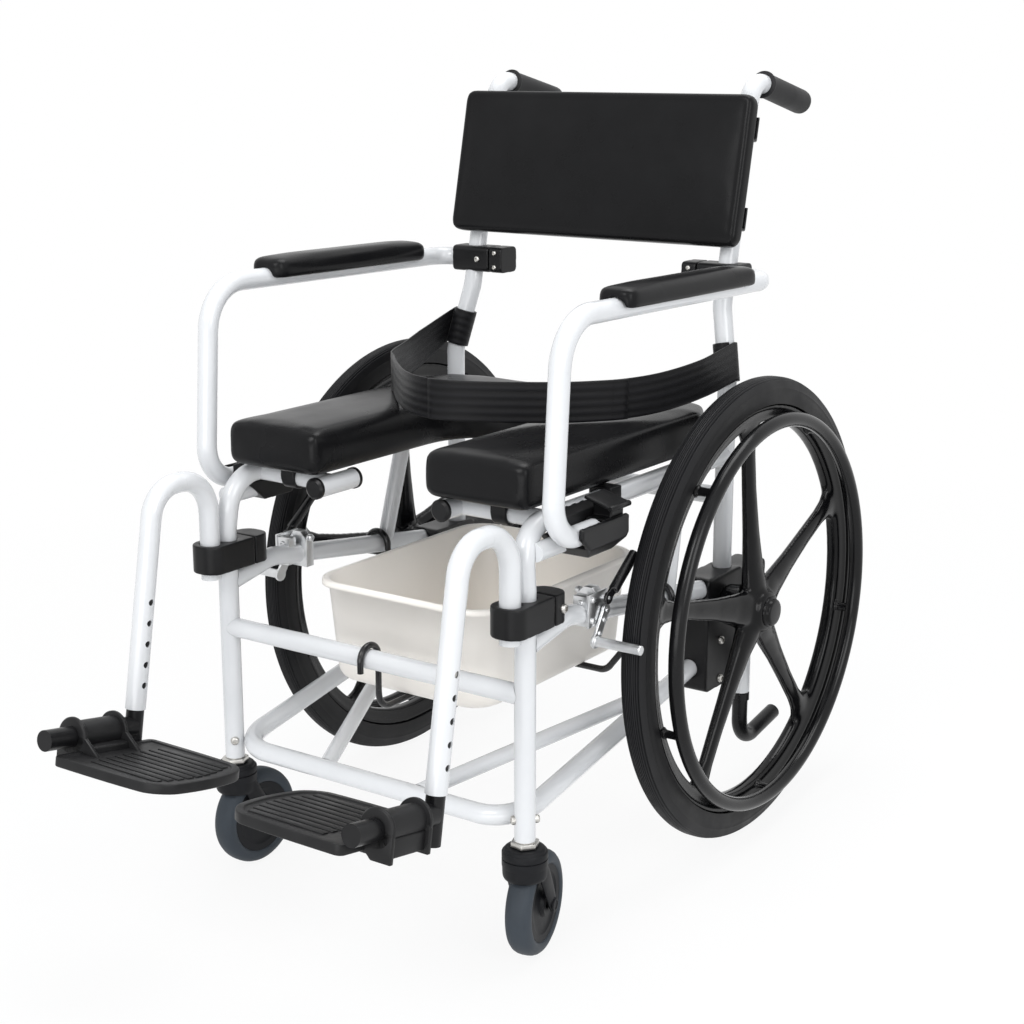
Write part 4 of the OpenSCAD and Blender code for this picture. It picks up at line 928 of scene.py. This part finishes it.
def caster_fork(side):
    bm = bmesh.new()
    for s in (-1, 1):
        fork_arm(bm, s)
    fork_crown(bm)
    neck = turned([(78, 0), (78, 24), (82, 26.4), (97, 26.8), (97, 0)], 48)
    join(bm, move(neck, UPRIGHT))
    bm = moulded(move(bm, TO_METRES), 0.0016, 4)
    move(bm, FROM_METRES)
    rings = [(94, 8.3), (94, 26.9), (95, 27.2), (103, 27.2), (103.6, 26.6), (104.2, 25.6), (104.8, 26.6), (105.4, 27.2),
             (111.5, 27.2), (112.6, 26.6), (113.2, 25), (115.4, 24.2), (116.6, 22.6), (117.0, 20), (117.0, 8.3)]
    join(bm, move(turned(rings, 64, loop=True), UPRIGHT))
    for s in (-1, 1):
        nut = turned([(0, 0), (0, 8.6), (1.4, 8.6), (2.2, 7.8), (2.2, 5.6), (1.4, 5.2), (1.4, 0)], 32)
        side_on = Matrix.Translation((s * 25.3, CASTER_TRAIL, CASTER_AXLE)) @ Matrix.Scale(s, 4, (1, 0, 0))
        join(bm, move(nut, side_on))
    settle("caster_hood_" + side, move(bm, at_caster(side)), FORK, "caster_" + side, ["caster_fork_" + side], 42)


for side in SIDES:
    caster_fork(side)

# %% [markdown]
# The caster wheel is a plastic disc with a stepped face and a grey rubber tread moulded round it, flat across
# the middle with soft shoulders.

# %% Caster wheels
def caster_wheel(side):
    axle = at_caster(side) @ Matrix.Translation((0, CASTER_TRAIL, CASTER_AXLE))
    body = "caster_wheel_" + side
    disc = [(17.2, 6.2), (17.2, 13.5), (15.8, 15), (12.5, 16.5), (11.5, 30), (12.2, 36), (13.6, 38), (14, 46.6)]
    bm = move(turned(both_ways(disc), 72, loop=True), axle)
    settle("caster_disc_" + side, bm, FORK, body, ["caster_hub_" + side], 30)
    tread = [(13.8, 46.8), (15.4, 48.5), (16, 51.5), (15.6, 55), (14, 58.6), (11, 61.4), (7, 63), (3, 63.5)]
    bm = move(turned(both_ways(tread), 96, loop=True), axle)
    settle("caster_rubber_" + side, bm, GREY_TYRE, body, ["caster_tyre_" + side], 60)


for side in SIDES:
    caster_wheel(side)

# %% [markdown]
# ## Footplates
# A footplate is a tough plastic tread that flips up on a hinge pin along its outer edge. The plate starts as
# one flat face whose corners are rounded. Its inner end is bowed, and it is pulled to its thickness. Two
# insets sink the field inside a border. Broad lands stand in the field, and a barrel with two flanged ears
# grips the pin.

# %% Footplates
FOOT = Matrix(((-1, 0, 0, POST_OUT), (0, -0.984196, 0.177085, -612.355), (0, 0.177085, 0.984196, 219.583),
               (0, 0, 0, 1)))
PLATE_START, PLATE_LONG, PLATE_MIDDLE, PLATE_HALF, PLATE_TOP = 13.2, 175, 60, 78, -14.2
LANDS, LAND_PITCH = 9, 13.2
EAR = ((-22.5, -2), (-22.5, -34), (4, -34), (14, -25), (50, -25), (46, -15.4), (23, 2), (0, 8))


def tread_plate():
    bm = bmesh.new()
    place = Matrix.Translation((100.7, PLATE_MIDDLE, PLATE_TOP)) @ Matrix.Diagonal((PLATE_LONG / 2, PLATE_HALF, 1, 1))
    bmesh.ops.create_grid(bm, x_segments=1, y_segments=1, size=1, matrix=place)
    bevel(bm, [v for v in bm.verts if v.co.x > 187], 30, 8, "VERTICES")
    bevel(bm, [v for v in bm.verts if v.co.x < 14], 9, 8, "VERTICES")
    bmesh.ops.subdivide_edges(bm, edges=[e for e in bm.edges if e.calc_length() > 60], cuts=7)
    for v in bm.verts:
        s, t = (v.co.y - PLATE_MIDDLE) / PLATE_HALF, (v.co.x - PLATE_START) / PLATE_LONG
        v.co.x -= 12 * s * s * t ** 3
        v.co.y = PLATE_MIDDLE + (v.co.y - PLATE_MIDDLE) * (1 - 0.08 * t ** 3)
    thicken(bm, (0, 0, -12))
    top = [f for f in bm.faces if f.normal.z > 0.9]
    rim = [e for e in bm.edges if len(e.link_faces) == 2 and e.calc_face_angle(0) > 1.2]
    for border, sink in ((8, 0), (1.2, -1.6)):
        bmesh.ops.inset_region(bm, faces=top, thickness=border, depth=sink, use_even_offset=True, use_boundary=True)
    return bevel(bm, rim, 1.8, 3)


def footplate(side, mirror):
    bm = tread_plate()
    for k in range(LANDS):
        row = k - LANDS // 2
        y, trim = PLATE_MIDDLE + row * LAND_PITCH, row ** 2
        join(bm, brick((50 + 0.25 * trim, y - 5, -18), (171 - 0.7 * trim, y + 5, -14.3), 1.2))
    barrel = [(30, 10.2), (30, 20.5), (31, 22.4), (32, 23), (34.5, 23), (35.6, 22.2), (36, 17.6), (94, 17.6),
              (94.4, 22.2), (95.5, 23), (98, 23), (99, 22.4), (100, 20.5), (100, 10.2)]
    join(bm, move(turned(barrel, 56, loop=True), Matrix.Rotation(math.radians(90), 4, "Z")))
    for y in (30, 94):
        join(bm, outline_block(EAR, y, y + 6, 1.4))
    join(bm, brick((-17.4, 33, -30), (30, 97, -8), 2.4, 3))
    move(bm, CHAIR @ mirror @ FOOT)
    settle("footplate_tread_" + side, bm, TREAD, "plate_" + side, ["footplate_" + side], 35)


for side, mirror in SIDES.items():
    footplate(side, mirror)

# %% [markdown]
# ## Pan
# The pan is a thin cream tub with round corners, sides that draw in to the bottom and a rolled rim. A block
# gets its corners rounded, loses its top and has its bottom edge rounded. Its open edge is then pulled out
# and down to roll the rim. The wall's thickness comes last.

# %% Pan
PAN_MIDDLE, PAN_FLOOR = -211, 237.208
PAN_WIDE, PAN_LONG, PAN_DEEP = 260, 344, 130
FLOOR_WIDE, FLOOR_LONG = 242, 326
PAN_WALL = 0.0026
RIM_ROLL = ((1.2, 1.0), (2.2, 0.8), (2.4, 0.0), (1.6, -1.2), (0.6, -3.0), (0.0, -3.5))


def make_pan():
    bm = bmesh.new()
    block = (Matrix.Translation((0, PAN_MIDDLE, PAN_FLOOR + PAN_DEEP / 2))
             @ Matrix.Diagonal((PAN_WIDE, PAN_LONG, PAN_DEEP, 1)))
    bmesh.ops.create_cube(bm, size=1, matrix=block)
    for v in bm.verts:
        if v.co.z < 300:
            v.co.x *= FLOOR_WIDE / PAN_WIDE
            v.co.y = PAN_MIDDLE + (v.co.y - PAN_MIDDLE) * FLOOR_LONG / PAN_LONG
    bevel(bm, [e for e in bm.edges if abs(e.verts[0].co.z - e.verts[1].co.z) > 50], 40, 10)
    top = [f for f in bm.faces if all(v.co.z > 360 for v in f.verts)]
    bmesh.ops.delete(bm, geom=top, context="FACES_ONLY")
    bevel(bm, [e for e in bm.edges if all(v.co.z < 240 for v in e.verts)], 14, 5)
    edge = [e for e in bm.edges if len(e.link_faces) == 1]
    for out, rise in RIM_ROLL:
        grown = bmesh.ops.extrude_edge_only(bm, edges=edge)["geom"]
        fresh = only(bmesh.types.BMVert, grown)
        edge = [e for e in only(bmesh.types.BMEdge, grown) if len(e.link_faces) == 1]
        wide = max(v.co.x for v in fresh)
        long = max(v.co.y - PAN_MIDDLE for v in fresh)
        grow = Matrix.Translation((0, PAN_MIDDLE, rise)) @ Matrix.Diagonal((1 + out / wide, 1 + out / long, 1, 1))
        bmesh.ops.transform(bm, matrix=grow @ Matrix.Translation((0, -PAN_MIDDLE, 0)), verts=fresh)
    made = settle("cream_tub", move(bm, CHAIR), CREAM, "pan", ["pan"], 60)
    wall = made.modifiers.new("wall", "SOLIDIFY")
    wall.thickness = PAN_WALL
    wall.offset = -1


make_pan()

# %% [markdown]
# ## Moulded blocks
# The clamps that hold the footrests, the arm hinges, the arm sockets with their latches and the axle holders
# are black mouldings with eased edges. Each one's solid is covered with a fine even skin and smoothed a
# little, which rounds every edge by about its grid, as a mould's radius does. Two-part clamps are first cut
# through, so that the gap between their halves shows, and the sockets lose their heavy corners.

# %% Eased blocks
def cut(bm, point, away):
    no = (CHAIR.to_3x3() @ Vector(away)).normalized()
    everything = bm.verts[:] + bm.edges[:] + bm.faces[:]
    gone = bmesh.ops.bisect_plane(bm, geom=everything, plane_co=CHAIR @ Vector(point), plane_no=no, clear_outer=True)
    bmesh.ops.holes_fill(bm, edges=only(bmesh.types.BMEdge, gone["geom_cut"]), sides=0)
    return bm


def eased(node, body, look, voxel, rounds, parts=None):
    bm = bmesh.new()
    for part in parts or [solid_copy(node)]:
        join(bm, moulded(part, voxel, rounds))
    settle("eased_" + node, bm, look, body, [node], 50)


def hanger_halves():
    return [cut(solid_copy("hanger_blocks"), (0, y, 0), (0, way, 0)) for y, way in ((-413.2, 1), (-411.4, -1))]


def pivot_parts():
    inner = cut(cut(solid_copy("pivot_blocks"), (166, 0, 0), (1, 0, 0)), (-166, 0, 0), (-1, 0, 0))
    return [inner] + [cut(solid_copy("pivot_blocks"), (s * 168, 0, 0), (-s, 0, 0)) for s in (1, -1)]


def arm_socket_block():
    bm = solid_copy("arm_sockets")
    cut(bm, (0, -404, 484), (0, -0.7, -0.75))
    cut(bm, (0, -305, 474), (0, 0.7, -0.7))
    for s in (1, -1):
        cut(bm, (s * 281.7, 0, 470), (s * 0.75, 0, -0.65))
        cut(bm, (s * 281.7, 0, 495), (s * 0.26, 0, 0.96))
    return [bm]


CUT_BLOCKS = {"hanger_blocks": hanger_halves, "pivot_blocks": pivot_parts, "arm_sockets": arm_socket_block}
for node, parts in CUT_BLOCKS.items():
    eased(node, "frame", PLASTIC, 0.0012, 4, parts())
for node, voxel in (("axle_blocks", 0.0018), ("back_brackets", 0.0012), ("seat_clips", 0.0013)):
    eased(node, "frame", PLASTIC, voxel, 3)

# %% [markdown]
# The latch over each arm socket has a finger flap: a thin plate that leans outwards and ends in a rolled lip.
# It is a block stretched thin, eased, and set on the latch.

# %% Arm latches
def latch(side, mirror):
    bm = moulded(solid_copy("arm_latch_" + side), 0.0010, 4)
    flap = brick((-20, -22, -2), (17, 20, 2.2), 1.6, 3)
    lip = turned([(-22, 0), (-22, 2.6), (-21, 3.4), (19, 3.4), (20, 2.6), (20, 0)], 20)
    join(flap, move(lip, Matrix.Translation((17, 0, 0)) @ Matrix.Rotation(math.radians(90), 4, "Z")))
    lean = Matrix.Translation((264, -324, 513)) @ Matrix.Rotation(math.radians(16), 4, "Y")
    join(bm, move(flap, CHAIR @ mirror @ lean))
    settle("eased_arm_latch_" + side, bm, PLASTIC, "latch_" + side, ["arm_latch_" + side], 50)


for side, mirror in SIDES.items():
    latch(side, mirror)

# %% [markdown]
# ## Fasteners and brakes
# Screws are spun with a rounded head and a socket, and one helper sets them wherever the real ones show. A
# hexagon nut with eased edges sits at the foot of each front post.

# %% Screws and nuts
def screw(bm, at, out, r=4.4, h=3.2):
    head = [(-1.5, 0), (-1.5, r), (0.5 * h, r), (0.85 * h, 0.84 * r), (h, 0.6 * r), (h, 0.5 * r), (0.4 * h, 0.46 * r),
            (0.4 * h, 0)]
    join(bm, move(turned(head, 28), Matrix.Translation(at) @ Vector(out).to_track_quat("X", "Z").to_matrix().to_4x4()))


def frame_screws():
    slant = Vector((0.707107, 0.707107, 0))
    post = Vector((POST_OUT, POST_FRONT, 150.706))
    both = bmesh.new()
    for mirror in SIDES.values():
        bm = bmesh.new()
        for z in (201.6, 255):
            screw(bm, (244.4, -5, z), (1, 0, 0), 5.5, 4)
        screw(bm, (251.6, -397, 399), (1, 0, 0), 5.5, 4)
        screw(bm, post - slant * 12.9, -slant, 5.5, 4)
        screw(bm, post + slant * 12.9, slant, 5, 4.4)
        for x, z, r, h in ((186, 728, 4.2, 2.4), (156, 738, 3.2, 1.8), (156, 718, 3.2, 1.8)):
            screw(bm, (x, 40.2, z), (0, -1, 0), r, h)
        join(both, move(bm, CHAIR @ mirror))
    settle("socket_screws", both, STEEL, "frame", ["frame_bolts"], 35)


def stem_nuts():
    bm = bmesh.new()
    twist = Matrix.Rotation(math.radians(20), 4, "Z")
    for s in (1, -1):
        bmesh.ops.create_cone(bm, cap_ends=True, segments=6, radius1=17.4, radius2=17.4, depth=6.6,
                              matrix=Matrix.Translation((s * POST_OUT, POST_FRONT, 121.4)) @ twist)
    settle("stem_nuts", move(soften(bm, 1.0, 2), CHAIR), STEEL, "frame", (), 35)


frame_screws()
stem_nuts()

# %% [markdown]
# Each brake hangs on the side rail in a sawn alloy clamp with a gable top. An outer plate carries the lever's
# and the shoe's pivots, and the links and levers themselves are eased solids.

# %% Brakes
CLAMP = ((211.8, 351.5), (244, 351.5), (244, 386), (234, 399), (222, 399), (211.8, 389))


def brake_clamp():
    both = bmesh.new()
    for mirror in SIDES.values():
        bm = outline_block(CLAMP, -309, -295, 0.9)
        join(bm, brick((241.4, -333, 356), (245, -291, 397), 0.9))
        join(bm, brick((222, -332, 378), (243, -318, 394), 1.0))
        join(bm, brick((224, -331, 357), (243, -319, 373), 1.0))
        for y, z, r, h in ((-300, 372.2, 3.0, 5.6), (-302, 388.2, 3.0, 9.8), (-325, 390, 3.8, 3), (-325, 364, 3.8, 3)):
            screw(bm, (245, y, z), (1, 0, 0), r, h)
        for z in (386, 365):
            screw(bm, (233, -332, z), (0, -1, 0), 3.6, 2.6)
        screw(bm, (211.8, -302, 391), (-1, 0, 0), 5, 5)
        join(both, move(bm, CHAIR @ mirror))
    settle("brake_clamp_plates", both, ALLOY, "frame", ["brake_clamps"], 35)


def brake_shoe(side, mirror):
    bm = moulded(solid_copy("brake_shoe_" + side), 0.0009, 2)
    heads = bmesh.new()
    for y, z in ((-306.5, 362), (-316, 347.5)):
        screw(heads, (249.7, y, z), (1, 0, 0), 3.2, 1.8)
    join(bm, move(heads, CHAIR @ mirror))
    settle("brake_shoe_link_" + side, bm, ALLOY, "shoe_" + side, ["brake_shoe_" + side], 50)


brake_clamp()
for side, mirror in SIDES.items():
    brake_shoe(side, mirror)
    eased("brake_lever_" + side, "brake_" + side, DIPPED, 0.0009, 3)
